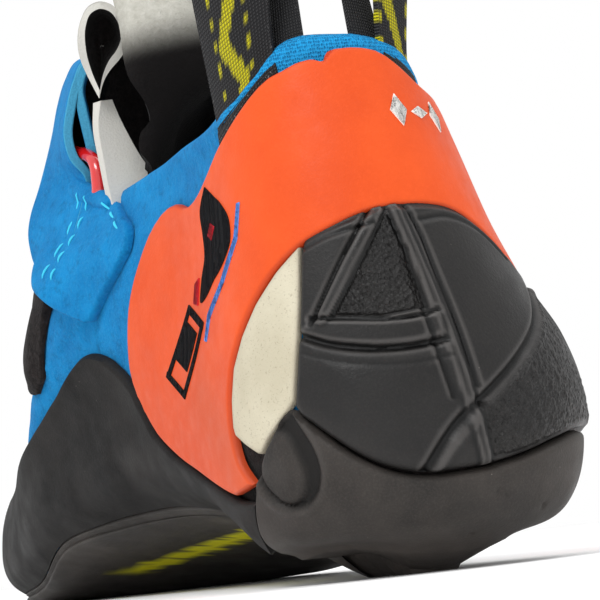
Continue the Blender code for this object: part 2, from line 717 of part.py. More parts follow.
def ring_bar(x, side):
    """Middle line of the ring's upper (1) or lower (-1) bar at each x."""
    centre = ring_centre()
    along = (x - centre[0]) / np.cos(RING_TURN)
    return np.stack([x, centre[1] + along * np.sin(RING_TURN),
                     np.full_like(x, centre[2] + side * RING_HALF[1])], -1)


def wrapped(bar, angles, radius):
    """Points round a bar at each angle, measured from the outside over the top."""
    angles = np.array(angles)
    turn = np.stack([np.zeros_like(angles), np.cos(angles), np.sin(angles)], -1)
    return bar[:, None, :] + turn[None, :, :] * radius


def build_closure():
    """Strap over the instep, its return through the ring, the ring and its tab."""
    grid = strap_grid()
    skin("closure_strap", thicken(grid, -STRAP), grid, BLUE, 0.85)
    grid = return_grid()
    skin("strap_return", grid, thicken(grid, -STRAP), BLUE, 0.85)

    turn = np.linspace(0.0, 2.0 * np.pi, 20, endpoint=False)
    tube = np.linspace(0.0, 2.0 * np.pi, 9)
    flat = np.sign(np.cos(turn)) * np.abs(np.cos(turn)) ** RING_SQUARE * RING_HALF[0]
    rise = np.sign(np.sin(turn)) * np.abs(np.sin(turn)) ** RING_SQUARE * RING_HALF[1]
    grid = np.zeros((len(turn), len(tube), 3))
    out = np.stack([np.cos(turn), np.sin(turn)], -1)
    centre = ring_centre()
    for j, angle in enumerate(tube):
        along = flat + out[:, 0] * RING_TUBE * np.cos(angle)
        up = rise + out[:, 1] * RING_TUBE * np.cos(angle)
        grid[:, j, 0] = centre[0] + along * np.cos(RING_TURN)
        grid[:, j, 1] = centre[1] + along * np.sin(RING_TURN) + RING_TUBE * np.sin(angle)
        grid[:, j, 2] = centre[2] + up
    count = grid.shape[0] * grid.shape[1]
    faces = quads(grid.shape[0], grid.shape[1], 0, False, around=True)
    make_object("strap_ring", grid.reshape(count, 3), faces, RED, 0.25)

    share = np.linspace(0.0, 1.0, 6)
    run = run_at(RING_AT[0]) + TAB_WIDE * np.linspace(-0.5, 0.5, 4)
    place = TAB_PLACES[0] + (TAB_PLACES[1] - TAB_PLACES[0]) * share
    runs = run[:, None] + TAB_SLANT * (1.0 - share)[None, :]
    places = np.broadcast_to(place, runs.shape)
    outer = facet_grid(runs, places, TAB_CLEAR + STRAP)
    inner = facet_grid(runs, places, TAB_CLEAR)
    around = RING_TUBE + BAR_CLEAR
    bar = ring_bar(outer[:, -1, 0], -1.0)
    outer = np.concatenate([outer[:, :-1], wrapped(bar, TAB_FOLD, around)], axis=1)
    inner = np.concatenate([inner[:, :-1], wrapped(bar, TAB_FOLD, around + STRAP)], axis=1)
    skin("ring_tab", outer, inner, BLUE, 0.9)


def build_loops():
    """Two webbing pull loops standing on the collar."""
    for name, edges in (("pull_loop_medial", LOOP_MEDIAL), ("pull_loop_lateral", LOOP_LATERAL)):
        run = runs_between(edges[0], edges[1])
        top = topline(run)
        low = by_run(BAND_HIGH, run) + PLACE_GAP
        out_low = on_facets(run, low, LOOP_CLEAR)
        out_mid = on_facets(run, 0.5 * (low + top), LOOP_CLEAR)
        out_top = on_facets(run, top, LOOP_CLEAR)
        in_top = on_facets(run, top, -UPPER_WALL - LOOP_CLEAR)
        in_low = on_facets(run, top - LOOP_TUCK, -UPPER_WALL - LOOP_CLEAR)
        away = normal(run, top) * np.array([1.0, 1.0, 0.0])
        away /= np.linalg.norm(away, axis=1, keepdims=True)
        rows = [out_low, out_mid, out_top]
        mid = 0.5 * (out_top + in_top)
        for share in np.linspace(0.1, 0.9, 7):
            angle = np.pi * share
            reach = LOOP_REACH * np.cos(angle) * (1.0 + np.sin(angle))
            point = mid + away * reach
            rise = np.sin(angle) ** 0.6
            point[:, 2] = mid[:, 2] + (LOOP_TOP - mid[:, 2]) * rise
            rows.append(point)
        rows += [in_top, in_low]
        grid = np.array(rows)
        skin(name, thicken(grid, WEBBING), grid, BLACK, 0.9)


for thing in list(bpy.data.objects):
    bpy.data.objects.remove(thing, do_unlink=True)

build_upper()
build_outsole()
build_insole()
build_tongue()
build_heel()
build_rands()
build_closure()
build_loops()
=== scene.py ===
"""Looks of the climbing shoe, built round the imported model. Metres, +X to the toe, +Y medial."""

import bpy
import numpy as np
from mathutils import Matrix, Vector
from mathutils.geometry import delaunay_2d_cdt


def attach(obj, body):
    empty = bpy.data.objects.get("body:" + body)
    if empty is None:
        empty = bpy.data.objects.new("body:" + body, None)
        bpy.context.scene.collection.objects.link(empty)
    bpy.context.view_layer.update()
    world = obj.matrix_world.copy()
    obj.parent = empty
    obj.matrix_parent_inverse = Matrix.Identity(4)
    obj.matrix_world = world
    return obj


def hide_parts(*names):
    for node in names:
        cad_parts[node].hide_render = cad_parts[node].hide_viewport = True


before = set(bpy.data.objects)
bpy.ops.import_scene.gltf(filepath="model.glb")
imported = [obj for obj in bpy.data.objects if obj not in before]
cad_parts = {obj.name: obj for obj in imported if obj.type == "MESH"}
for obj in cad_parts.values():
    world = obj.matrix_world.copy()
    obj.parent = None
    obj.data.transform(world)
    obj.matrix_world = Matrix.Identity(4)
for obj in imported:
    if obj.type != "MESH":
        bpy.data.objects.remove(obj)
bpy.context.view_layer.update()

# Sizes of the last, as in the part's source.
LENGTH = 0.244
BALL_WIDTH = 0.0765
INSTEP_HEIGHT = 0.101
HEEL_DEPTH = 0.061
HEEL_RUN = 0.048
TOE_RUN = 0.046
HEEL_ROUND = 2.15
TOE_ROUND = 2.1
TOE_TAPER_FROM = 0.012
ORIGIN_SHIFT = 0.030
UPPER_WALL = 0.0020

LAST_COLUMNS = (
    "along", "medial", "lateral", "ridge", "tuck_medial", "tuck_lateral", "shoulder_medial",
    "shoulder_lateral", "top_medial", "top_lateral", "feather_medial", "feather_lateral",
    "wide_height", "shoulder_height", "top_height",
)
LAST_ROWS = np.array([
    (0.131, 0.346, 0.451, 0.013, 0.131, 0.183, 0.314, -0.280,
     0.288, -0.110, 0.045, 0.045, 0.267, 0.614, 1.030),
    (0.246, 0.353, 0.418, 0.020, 0.170, 0.157, 0.327, -0.292,
     0.307, -0.150, 0.139, 0.069, 0.327, 0.634, 1.030),
    (0.369, 0.386, 0.405, 0.039, 0.157, 0.118, 0.431, -0.340,
     0.222, -0.131, 0.178, 0.089, 0.406, 0.673, 1.089),
    (0.492, 0.471, 0.438, 0.078, 0.118, 0.078, 0.536, -0.353,
     0.078, 0.078, 0.173, 0.079, 0.376, 0.614, 1.000),
    (0.594, 0.536, 0.464, 0.118, 0.085, 0.065, 0.536, -0.314,
     0.118, 0.118, 0.149, 0.059, 0.287, 0.465, 0.782),
    (0.705, 0.536, 0.451, 0.170, 0.072, 0.065, 0.484, -0.209,
     0.170, 0.170, 0.069, 0.045, 0.198, 0.356, 0.554),
    (0.820, 0.523, 0.346, 0.216, 0.065, 0.065, 0.458, -0.052,
     0.216, 0.216, 0.045, 0.045, 0.149, 0.287, 0.396),
    (0.910, 0.471, 0.190, 0.248, 0.065, 0.065, 0.418, 0.078,
     0.248, 0.248, 0.045, 0.045, 0.129, 0.238, 0.317),
])
LEVELS = np.array([0.0, 0.14, 0.34, 0.64, 1.0])
LOW_SIDE = 0.74
LOW_HEIGHT = 0.30
BACK_ROWS = np.array([
    (0.197, 0.045, -0.052), (0.066, 0.109, -0.052), (0.000, 0.277, -0.046),
    (0.074, 0.614, 0.020), (0.221, 1.030, 0.052),
])
TIP_ROWS = np.array([
    (0.9754, 0.050), (0.9939, 0.079), (1.0000, 0.139), (0.9754, 0.248), (0.9100, 0.317),
])
THROAT_FROM = 0.36
THROAT_TO = 0.54
TOPLINE = np.array([
    (0.000, 0.930, 0.930), (0.020, 0.925, 0.915), (0.034, 0.880, 0.885), (0.048, 0.855, 0.870),
    (0.070, 0.825, 0.860), (0.092, 0.800, 0.840), (0.110, 0.800, 0.835), (0.128, 0.880, 0.900),
    (0.148, 1.000, 1.000),
])

# Millimetres up the skin for each place up the side.
UP_MM = np.array([0.0, 10.4, 27.9, 62.2, 105.0])


def smooth(value):
    """A soft step from 0 to 1."""
    share = np.clip(value, 0.0, 1.0)
    return share * share * (3.0 - 2.0 * share)


def curve(knots, values, places):
    """Values of a smooth curve through knots, at an array of places."""
    knots, values = np.asarray(knots, float), np.asarray(values, float)
    places = np.clip(np.asarray(places, float), knots[0], knots[-1])
    step = np.diff(knots)
    rise = np.diff(values, axis=0) / step.reshape((-1,) + (1,) * (values.ndim - 1))
    slope = np.empty_like(values)
    slope[0], slope[-1] = rise[0], rise[-1]
    share = (step[1:] / (step[1:] + step[:-1])).reshape((-1,) + (1,) * (values.ndim - 1))
    slope[1:-1] = rise[:-1] * share + rise[1:] * (1.0 - share)
    span = np.clip(np.searchsorted(knots, places, side="right") - 1, 0, len(knots) - 2)
    shape = places.shape + (1,) * (values.ndim - 1)
    wide = (knots[span + 1] - knots[span]).reshape(shape)
    place = (places - knots[span]).reshape(shape) / wide
    return hermite(values[span], values[span + 1], slope[span], slope[span + 1], wide, place)


def hermite(low, high, slope_low, slope_high, step, share):
    """One span of a smooth curve."""
    back = 1.0 - share
    return (low * (1.0 + 2.0 * share) * back ** 2 + step * slope_low * share * back ** 2
            + high * share ** 2 * (3.0 - 2.0 * share) - step * slope_high * share ** 2 * back)


def up_the_side(points, flat_top, places):
    """Point on each section at its place up the side."""
    step = np.diff(LEVELS)
    rise = np.diff(points, axis=-2) / step[:, None]
    slope = np.empty_like(points)
    slope[..., 0, :] = rise[..., 0, :]
    slope[..., -1, :] = rise[..., -1, :]
    slope[..., -1, 1] *= 1.0 - flat_top
    share = (step[1:] / (step[1:] + step[:-1]))[:, None]
    slope[..., 1:-1, :] = rise[..., :-1, :] * share + rise[..., 1:, :] * (1.0 - share)
    span = np.clip(np.searchsorted(LEVELS, places, side="right") - 1, 0, len(LEVELS) - 2)
    place = ((places - LEVELS[span]) / step[span])[..., None]
    pick = span[..., None, None]

    def take(array, shift):
        return np.take_along_axis(array, pick + shift, axis=-2)[..., 0, :]

    return hermite(take(points, 0), take(points, 1), take(slope, 0), take(slope, 1),
                   step[span][..., None], place)


X_HEEL = LAST_ROWS[0, 0] * LENGTH
X_TOE = LAST_ROWS[-1, 0] * LENGTH
HALF_RUN = HEEL_RUN + (X_TOE - X_HEEL) + TOE_RUN


def last_row(x):
    """Named sizes of the section at x, in metres."""
    row = curve(LAST_ROWS[:, 0] * LENGTH, LAST_ROWS[:, 1:], x)
    found = {}
    for place, name in enumerate(LAST_COLUMNS[1:]):
        size = INSTEP_HEIGHT if "height" in name or "feather" in name else BALL_WIDTH
        found[name] = row[..., place] * size
    return found


def surface(run, place):
    """Last surface. run is metres from the heel back, medial positive; place is 0 to 1."""
    run = np.asarray(run, float)
    place = np.broadcast_to(np.asarray(place, float), run.shape)
    run = (run + HALF_RUN) % (2.0 * HALF_RUN) - HALF_RUN
    medial = run >= 0.0
    away = np.abs(run)
    x = np.clip(X_HEEL + (away - HEEL_RUN), X_HEEL, X_TOE)
    row = last_row(x)
    wide = np.where(medial, row["medial"], -row["lateral"])
    tuck = np.where(medial, -row["tuck_medial"], row["tuck_lateral"])
    feather = wide + tuck
    foot = np.where(medial, row["feather_medial"], row["feather_lateral"])
    closed = smooth((x / LENGTH - THROAT_FROM) / (THROAT_TO - THROAT_FROM))
    top = np.where(medial, row["top_medial"], row["top_lateral"])
    top = top * (1.0 - closed) + row["ridge"] * closed
    side = np.stack([feather, feather + LOW_SIDE * (wide - feather), wide,
                     np.where(medial, row["shoulder_medial"], row["shoulder_lateral"]), top], -1)
    level = np.stack([foot, foot + LOW_HEIGHT * (row["wide_height"] - foot), row["wide_height"],
                      row["shoulder_height"], row["top_height"]], -1)
    point = up_the_side(np.stack([side, level], -1), closed, place)
    y, z = point[..., 0], point[..., 1]

    back = curve(LEVELS, BACK_ROWS * np.array([HEEL_DEPTH, INSTEP_HEIGHT, BALL_WIDTH]), place)
    turn = np.clip(away / HEEL_RUN, 0.0, 1.0) * np.pi / 2.0
    forth = np.abs(np.cos(turn)) ** (2.0 / HEEL_ROUND)
    out = np.abs(np.sin(turn)) ** (2.0 / HEEL_ROUND)
    blend = np.cos(turn) ** 2
    heel = np.stack([X_HEEL - (X_HEEL - back[..., 0]) * forth,
                     back[..., 2] + (y - back[..., 2]) * out,
                     back[..., 1] * blend + z * (1.0 - blend)], -1)

    before = last_row(np.full_like(x, X_TOE - TOE_TAPER_FROM))
    now = np.where(medial, row["medial"], -row["lateral"])
    then = np.where(medial, before["medial"], -before["lateral"])
    taper = (now - then) / TOE_TAPER_FROM
    tip = curve(LEVELS, TIP_ROWS * np.array([LENGTH, INSTEP_HEIGHT]), place)
    turn = np.clip((away - HALF_RUN + TOE_RUN) / TOE_RUN, 0.0, 1.0) * np.pi / 2.0
    forth = np.abs(np.sin(turn)) ** (2.0 / TOE_ROUND)
    out = np.abs(np.cos(turn)) ** (2.0 / TOE_ROUND)
    blend = np.sin(turn) ** 2
    ahead = (tip[..., 0] - X_TOE) * forth
    toe = np.stack([X_TOE + ahead,
                    row["ridge"] + (y - row["ridge"] + taper * ahead) * out,
                    tip[..., 1] * blend + z * (1.0 - blend)], -1)

    flank = np.stack([x, y, z], -1)
    found = np.where((away < HEEL_RUN)[..., None], heel, flank)
    found = np.where((away > HALF_RUN - TOE_RUN)[..., None], toe, found)
    return found - np.array([ORIGIN_SHIFT, 0.0, 0.0])


def raw_normal(run, place):
    """Outward direction of the last surface."""
    step, rise = 0.0006, 0.012
    round_it = surface(run + step, place) - surface(run - step, place)
    up_it = surface(run, np.minimum(place + rise, 1.0)) - surface(run, np.maximum(place - rise, 0.0))
    found = np.cross(up_it, round_it)
    return found / (np.linalg.norm(found, axis=-1, keepdims=True) + 1e-12)


def normal(run, place):
    """Outward direction, the same from both sides where they meet on the ridge."""
    run = np.asarray(run, float)
    place = np.broadcast_to(np.asarray(place, float), run.shape)
    own = raw_normal(run, place)
    other = raw_normal(-run, place)
    x = np.clip(X_HEEL + (np.abs(run) - HEEL_RUN), X_HEEL, X_TOE) / LENGTH
    closed = smooth((x - THROAT_FROM) / (THROAT_TO - THROAT_FROM))
    share = (0.5 * smooth((place - 0.86) / 0.14) * closed)[..., None]
    found = own * (1.0 - share) + other * share + np.array([0.0, 0.0, 1e-6])
    return found / np.linalg.norm(found, axis=-1, keepdims=True)


def shell_point(run, place, offset):
    """Point off the last surface by an offset along its own direction."""
    run = np.asarray(run, float)
    place = np.broadcast_to(np.asarray(place, float), run.shape)
    offset = np.broadcast_to(np.asarray(offset, float), run.shape)
    return surface(run, place) + normal(run, place) * offset[..., None]


def topline(run):
    """Place up the side of the collar and throat edge."""
    away = np.abs(run)
    medial = curve(TOPLINE[:, 0], TOPLINE[:, 1], away)
    lateral = curve(TOPLINE[:, 0], TOPLINE[:, 2], away)
    return np.clip(np.where(run >= 0.0, medial, lateral), 0.0, 1.0)


def up(place):
    """Millimetres up the skin at a place."""
    return np.interp(place, LEVELS, UP_MM)


def place_of(height):
    """Place up the side at millimetres up the skin."""
    return np.interp(height, UP_MM, LEVELS)


def metric(line):
    """Points given as run in millimetres and place, as millimetres both ways."""
    line = np.asarray(line, float)
    return np.stack([line[:, 0], up(line[:, 1])], -1)


def bent(line, count):
    """Points evenly along a smooth curve through the given ones."""
    line = np.asarray(line, float)
    gone = np.concatenate([[0.0], np.cumsum(np.linalg.norm(np.diff(line, axis=0), axis=1))])
    return curve(gone, line, np.linspace(0.0, gone[-1], count))


def away_from(across, upward, line):
    """Distance in millimetres from each point to a line of points."""
    best = np.full(np.shape(across), 1e9)
    for (x0, y0), (x1, y1) in zip(line[:-1], line[1:]):
        dx, dy = x1 - x0, y1 - y0
        share = ((across - x0) * dx + (upward - y0) * dy) / max(dx * dx + dy * dy, 1e-12)
        share = np.clip(share, 0.0, 1.0)
        best = np.minimum(best, np.hypot(across - x0 - share * dx, upward - y0 - share * dy))
    return best


def within(across, upward, line):
    """Whether each point lies inside a closed outline."""
    inside = np.zeros(np.shape(across), bool)
    for (x0, y0), (x1, y1) in zip(line, np.roll(line, -1, axis=0)):
        if y0 == y1:
            continue
        meets = (y0 > upward) != (y1 > upward)
        inside ^= meets & (across < (x1 - x0) * (upward - y0) / (y1 - y0) + x0)
    return inside


def inwards(across, upward, line):
    """Signed distance to a closed outline in millimetres, positive inside."""
    line = np.asarray(line, float)
    far = away_from(across, upward, np.concatenate([line, line[:1]]))
    return np.where(within(across, upward, line), far, -far)


def step_in(distance, width):
    """0 outside, 1 inside, soft over a width."""
    return smooth(distance / width + 0.5)


def wobble(across, upward, scale, seed):
    """A smooth even-handed noise from sines, about -1 to 1."""
    rng = np.random.RandomState(seed)
    found = np.zeros(np.shape(across))
    for _ in range(7):
        turn, phase, size = rng.uniform(0, np.pi), rng.uniform(0, 6.28), rng.uniform(0.6, 1.7)
        way = across * np.cos(turn) + upward * np.sin(turn)
        found += np.sin(way * size * 6.28 / scale + phase)
    return found / 3.5


def grid_faces(rows, columns, start=0, flip=False, around=False):
    """Four-sided faces of a grid of points numbered from start."""
    i = np.arange(rows if around else rows - 1)[:, None]
    j = np.arange(columns - 1)[None, :]
    a = start + i * columns + j
    b = start + ((i + 1) % rows) * columns + j
    faces = np.stack([a, a + 1, b + 1, b], -1).reshape(-1, 4)
    return faces[:, ::-1] if flip else faces


def edge_walls(rows, columns, count, around):
    """Faces that close the edges between an outer and an inner grid."""
    i = np.arange(rows if around else rows - 1)
    k = (i + 1) % rows
    a, b = i * columns, k * columns
    low = np.stack([a, b, b + count, a + count], -1)
    a, b = a + columns - 1, b + columns - 1
    high = np.stack([a, a + count, b + count, b], -1)
    walls = [low, high]
    if not around:
        j = np.arange(columns - 1)
        walls.append(np.stack([j, j + count, j + count + 1, j + 1], -1))
        j = j + (rows - 1) * columns
        walls.append(np.stack([j, j + 1, j + count + 1, j + count], -1))
    return walls


def make(name, points, faces, mats, slots=None, marks=None, sharp=0.9):
    """A smooth-shaded piece on the root body."""
    mesh = bpy.data.meshes.new(name)
    mesh.from_pydata(points.tolist(), [], faces.tolist())
    for mat in mats:
        mesh.materials.append(mat)
    if slots is not None:
        mesh.polygons.foreach_set("material_index", slots.astype(np.int32))
    for label, values in (marks or {}).items():
        values = np.asarray(values, float)
        if values.ndim == 2:
            layer = mesh.attributes.new(label, "FLOAT_VECTOR", "POINT")
            layer.data.foreach_set("vector", values.ravel())
        else:
            layer = mesh.attributes.new(label, "FLOAT", "POINT")
            layer.data.foreach_set("value", values)
    mesh.polygons.foreach_set("use_smooth", np.ones(len(mesh.polygons), bool))
    mesh.update()
    mesh.set_sharp_from_angle(angle=sharp)
    piece = bpy.data.objects.new(name, mesh)
    bpy.context.scene.collection.objects.link(piece)
    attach(piece, "root")
    return piece


def closed(name, outer, inner, mats, marks=None, around=False, inside=0, wall=0, sharp=0.9):
    """A closed shell between two grids. marks are values on the outer grid."""
    rows, columns = outer.shape[:2]
    count = rows * columns
    front = grid_faces(rows, columns, 0, False, around)
    back = grid_faces(rows, columns, count, True, around)
    walls = np.concatenate(edge_walls(rows, columns, count, around))
    faces = np.concatenate([front, back, walls])
    slots = np.concatenate([np.zeros(len(front)), np.full(len(back), inside),
                            np.full(len(walls), wall)])
    points = np.concatenate([outer.reshape(-1, 3), inner.reshape(-1, 3)])
    both = {}
    for label, values in (marks or {}).items():
        values = np.asarray(values, float)
        flat = values.reshape(count, -1) if values.ndim == 3 else values.reshape(count)
        both[label] = np.concatenate([flat, flat])
    return make(name, points, faces, mats, slots, both, sharp)


def on_last(name, run, place, outer, inner, mats, marks=None, **options):
    """A closed shell on the last between two offsets. run in metres."""
    marks = dict(marks or {})
    marks["skin"] = np.stack([run, up(place) * 0.001, np.zeros_like(run)], -1)
    return closed(name, shell_point(run, place, outer), shell_point(run, place, inner), mats,
                  marks, **options)


def rounded(edge, thickness, radius, least=0.35):
    """Height of a sheet with a rounded edge, at a distance from its edge. All in millimetres."""
    share = 1.0 - np.clip(edge / radius, 0.0, 1.0)
    return thickness * (least + (1.0 - least) * np.sqrt(1.0 - share ** 2))


# Node helpers.

def fresh(name):
    """A new material with its tree and shader."""
    mat = bpy.data.materials.new(name)
    mat.use_nodes = True
    tree = mat.node_tree
    return mat, tree, tree.nodes["Principled BSDF"]


def put(tree, socket, value):
    """Links a socket or sets a plain value."""
    if isinstance(value, bpy.types.NodeSocket):
        tree.links.new(value, socket)
    else:
        socket.default_value = value


def noise(tree, scale, detail=4.0, rough=0.55, vector=None):
    """A noise texture in object space, about 0 to 1."""
    node = tree.nodes.new("ShaderNodeTexNoise")
    node.inputs["Scale"].default_value = scale
    node.inputs["Detail"].default_value = detail
    node.inputs["Roughness"].default_value = rough
    put(tree, node.inputs["Vector"], vector or place_in(tree))
    return node.outputs["Fac"]


def place_in(tree):
    """The object's own coordinates."""
    return tree.nodes.new("ShaderNodeTexCoord").outputs["Object"]


def cells(tree, scale, feature="F1", vector=None, random=1.0):
    """Distance from a voronoi texture."""
    node = tree.nodes.new("ShaderNodeTexVoronoi")
    node.feature = feature
    node.inputs["Scale"].default_value = scale
    node.inputs["Randomness"].default_value = random
    put(tree, node.inputs["Vector"], vector or place_in(tree))
    return node.outputs["Distance"]


def sums(tree, kind, first, second=0.0, clamp=False):
    """One math node."""
    node = tree.nodes.new("ShaderNodeMath")
    node.operation = kind
    node.use_clamp = clamp
    put(tree, node.inputs[0], first)
    put(tree, node.inputs[1], second)
    return node.outputs[0]


def span(tree, value, low, high, to_low=0.0, to_high=1.0):
    """A value brought from one range to another, clamped."""
    node = tree.nodes.new("ShaderNodeMapRange")
    put(tree, node.inputs["Value"], value)
    node.inputs["From Min"].default_value = low
    node.inputs["From Max"].default_value = high
    node.inputs["To Min"].default_value = to_low
    node.inputs["To Max"].default_value = to_high
    return node.outputs["Result"]


def blend(tree, share, first, second):
    """Two colours mixed by a share."""
    node = tree.nodes.new("ShaderNodeMix")
    node.data_type = "RGBA"
    put(tree, node.inputs["Factor"], share)
    for socket, value in ((node.inputs[6], first), (node.inputs[7], second)):
        if isinstance(value, tuple):
            socket.default_value = (*value, 1.0)
        else:
            tree.links.new(value, socket)
    return node.outputs[2]


def mark(tree, label):
    """A value painted on the piece's points."""
    node = tree.nodes.new("ShaderNodeAttribute")
    node.attribute_name = label
    return node.outputs["Fac"]


def skin_vector(tree):
    """Metres round and up the skin."""
    node = tree.nodes.new("ShaderNodeAttribute")
    node.attribute_name = "skin"
    return node.outputs["Vector"]


def bump(tree, shader, height, distance, strength=1.0, before=None):
    """A bump on the shader's normal."""
    node = tree.nodes.new("ShaderNodeBump")
    node.inputs["Strength"].default_value = strength
    node.inputs["Distance"].default_value = distance
    put(tree, node.inputs["Height"], height)
    if before is not None:
        put(tree, node.inputs["Normal"], before)
    tree.links.new(node.outputs["Normal"], shader.inputs["Normal"])
    return node.outputs["Normal"]


def suede(name, deep, light, worn_and_highlight):
    """Napped suede: patches, fibres, dry dark pores and worn places."""
    mat, tree, shader = fresh(name)
    patches = span(tree, noise(tree, 95.0, 4.0), 0.36, 0.66)
    fibres = noise(tree, 1500.0, 5.0, 0.7)
    colour = blend(tree, patches, deep, light)
    colour = blend(tree, span(tree, fibres, 0.45, 0.80, 0.0, 0.35), colour, worn_and_highlight)
    dark = span(tree, noise(tree, 420.0, 5.0, 0.7), 0.30, 0.48, 0.40, 0.0)
    colour = blend(tree, dark, colour, tuple(v * 0.35 for v in deep))
    tree.links.new(colour, shader.inputs["Base Color"])
    shader.inputs["Roughness"].default_value = 0.95
    shader.inputs["Sheen Weight"].default_value = 0.04
    shader.inputs["Specular IOR Level"].default_value = 0.08
    rough = bump(tree, shader, noise(tree, 380.0, 4.0), 0.0008, 0.6)
    bump(tree, shader, fibres, 0.00035, 1.0, rough)
    return mat


def rubber(name, deep, dusty, rough=0.55, pebbled=False, spec=0.45, dust_and_shade=0.35):
    """Moulded rubber with dust, fine scuffs and, where marked, pebbles, a painted highlight on raised edges
    and painted shade in grooves.
    """
    mat, tree, shader = fresh(name)
    broad = span(tree, noise(tree, 55.0, 5.0), 0.40, 0.68)
    fine = span(tree, noise(tree, 2600.0, 3.0, 0.7), 0.46, 0.74)
    share = sums(tree, "MULTIPLY", broad, dust_and_shade, True)
    share = sums(tree, "ADD", share, sums(tree, "MULTIPLY", mark(tree, "dust_and_shade"), 0.75), True)
    colour = blend(tree, share, deep, dusty)
    colour = blend(tree, sums(tree, "MULTIPLY", fine, 0.16), colour, tuple(v * 1.8 for v in dusty))
    specks = span(tree, cells(tree, 420.0), 0.055, 0.020)
    specks = sums(tree, "MULTIPLY", specks, span(tree, noise(tree, 70.0), 0.52, 0.62))
    colour = blend(tree, sums(tree, "MULTIPLY", specks, 0.5), colour, (0.32, 0.29, 0.26))
    # Lighter where marked: a painted highlight on raised edges, partly wear of the rubber.
    colour = blend(tree, sums(tree, "MULTIPLY", mark(tree, "worn_and_highlight"), 0.8), colour,
                   (0.105, 0.098, 0.094))
    # Near black where marked deep: painted shade in the grooves.
    colour = blend(tree, mark(tree, "deep"), colour, (0.0015, 0.0015, 0.0015))
    colour = blend(tree, mark(tree, "stripe"), colour, (0.72, 0.68, 0.012))
    tree.links.new(colour, shader.inputs["Base Color"])
    shine = span(tree, noise(tree, 130.0, 4.0), 0.3, 0.7, rough - 0.07, rough + 0.12)
    tree.links.new(shine, shader.inputs["Roughness"])
    shader.inputs["Specular IOR Level"].default_value = spec
    first = bump(tree, shader, noise(tree, 1800.0, 4.0, 0.65), 0.00012, 0.8)
    if pebbled:
        grain = sums(tree, "MULTIPLY", mark(tree, "pebble"),
                     sums(tree, "ADD", noise(tree, 1150.0, 2.0, 0.5), cells(tree, 1300.0)))
        bump(tree, shader, grain, 0.00055, 1.0, first)
    return mat


def leather_band(name):
    """Smooth orange band with a satin face, darker edges, faint creases and a darker patch of painted shade
    by the cream panel.
    """
    mat, tree, shader = fresh(name)
    broad = span(tree, noise(tree, 60.0, 4.0), 0.35, 0.70)
    colour = blend(tree, broad, (0.60, 0.060, 0.004), (0.69, 0.078, 0.007))
    fine = span(tree, noise(tree, 1400.0, 4.0, 0.7), 0.50, 0.80, 0.0, 0.30)
    colour = blend(tree, fine, colour, (0.78, 0.10, 0.020))
    colour = blend(tree, sums(tree, "MULTIPLY", mark(tree, "edge"), 0.55), colour,
                   (0.42, 0.035, 0.012))
    # Darker by the cream panel, where the band turns from the light: painted shade.
    colour = blend(tree, sums(tree, "MULTIPLY", mark(tree, "dust_and_shade"), 0.5), colour,
                   (0.34, 0.07, 0.03))
    tree.links.new(colour, shader.inputs["Base Color"])
    tree.links.new(span(tree, noise(tree, 300.0, 3.0), 0.3, 0.7, 0.44, 0.58),
                   shader.inputs["Roughness"])
    shader.inputs["Specular IOR Level"].default_value = 0.25
    crease = noise(tree, 210.0, 3.0, 0.6)
    first = bump(tree, shader, crease, 0.0006, 0.16)
    bump(tree, shader, noise(tree, 2400.0, 3.0), 0.00008, 0.6, first)
    return mat


def speckled(name):
    """Cream rubber with fine dark specks."""
    mat, tree, shader = fresh(name)
    broad = span(tree, noise(tree, 90.0, 4.0), 0.35, 0.7)
    colour = blend(tree, broad, (0.47, 0.43, 0.32), (0.56, 0.52, 0.40))
    specks = span(tree, noise(tree, 2300.0, 2.0, 0.6), 0.60, 0.70)
    colour = blend(tree, sums(tree, "MULTIPLY", specks, 0.55), colour, (0.26, 0.22, 0.16))
    big = span(tree, cells(tree, 560.0), 0.06, 0.03)
    big = sums(tree, "MULTIPLY", big, span(tree, noise(tree, 160.0), 0.55, 0.60))
    colour = blend(tree, sums(tree, "MULTIPLY", big, 0.8), colour, (0.10, 0.08, 0.06))
    colour = blend(tree, sums(tree, "MULTIPLY", mark(tree, "edge"), 0.45), colour,
                   (0.30, 0.26, 0.20))
    tree.links.new(colour, shader.inputs["Base Color"])
    shader.inputs["Roughness"].default_value = 0.78
    shader.inputs["Specular IOR Level"].default_value = 0.25
    bump(tree, shader, noise(tree, 1700.0, 4.0, 0.7), 0.00018, 0.8)
    return mat


def lining(name, deep, light, scale=900.0, painted_shade=False):
    """Brushed lining cloth, which fades to dark where it is marked with painted shade."""
    mat, tree, shader = fresh(name)
    fuzz = noise(tree, scale, 5.0, 0.75)
    colour = blend(tree, span(tree, fuzz, 0.35, 0.75), deep, light)
    broad = span(tree, noise(tree, 70.0, 4.0), 0.40, 0.70, 0.0, 0.5)
    colour = blend(tree, broad, colour, tuple(v * 0.6 for v in deep))
    # Painted shade: near black where the piece is marked dark.
    if painted_shade:
        colour = blend(tree, mark(tree, "dark"), colour, (0.007, 0.006, 0.006))
    tree.links.new(colour, shader.inputs["Base Color"])
    shader.inputs["Roughness"].default_value = 0.97
    shader.inputs["Sheen Weight"].default_value = 0.05
    shader.inputs["Specular IOR Level"].default_value = 0.1
    bump(tree, shader, fuzz, 0.0006, 0.9)
    return mat


def knitted(name):
    """Blue collar knit with a fine mesh of darker holes."""
    mat, tree, shader = fresh(name)
    holes = cells(tree, 1500.0, vector=skin_vector(tree), random=0.35)
    share = span(tree, holes, 0.10, 0.50)
    colour = blend(tree, share, (0.006, 0.15, 0.40), (0.012, 0.27, 0.58))
    colour = blend(tree, span(tree, noise(tree, 300.0, 4.0), 0.4, 0.7, 0.0, 0.4), colour,
                   (0.015, 0.20, 0.42))
    tree.links.new(colour, shader.inputs["Base Color"])
    shader.inputs["Roughness"].default_value = 0.9
    shader.inputs["Specular IOR Level"].default_value = 0.15
    bump(tree, shader, share, 0.0004, 0.8)
    return mat


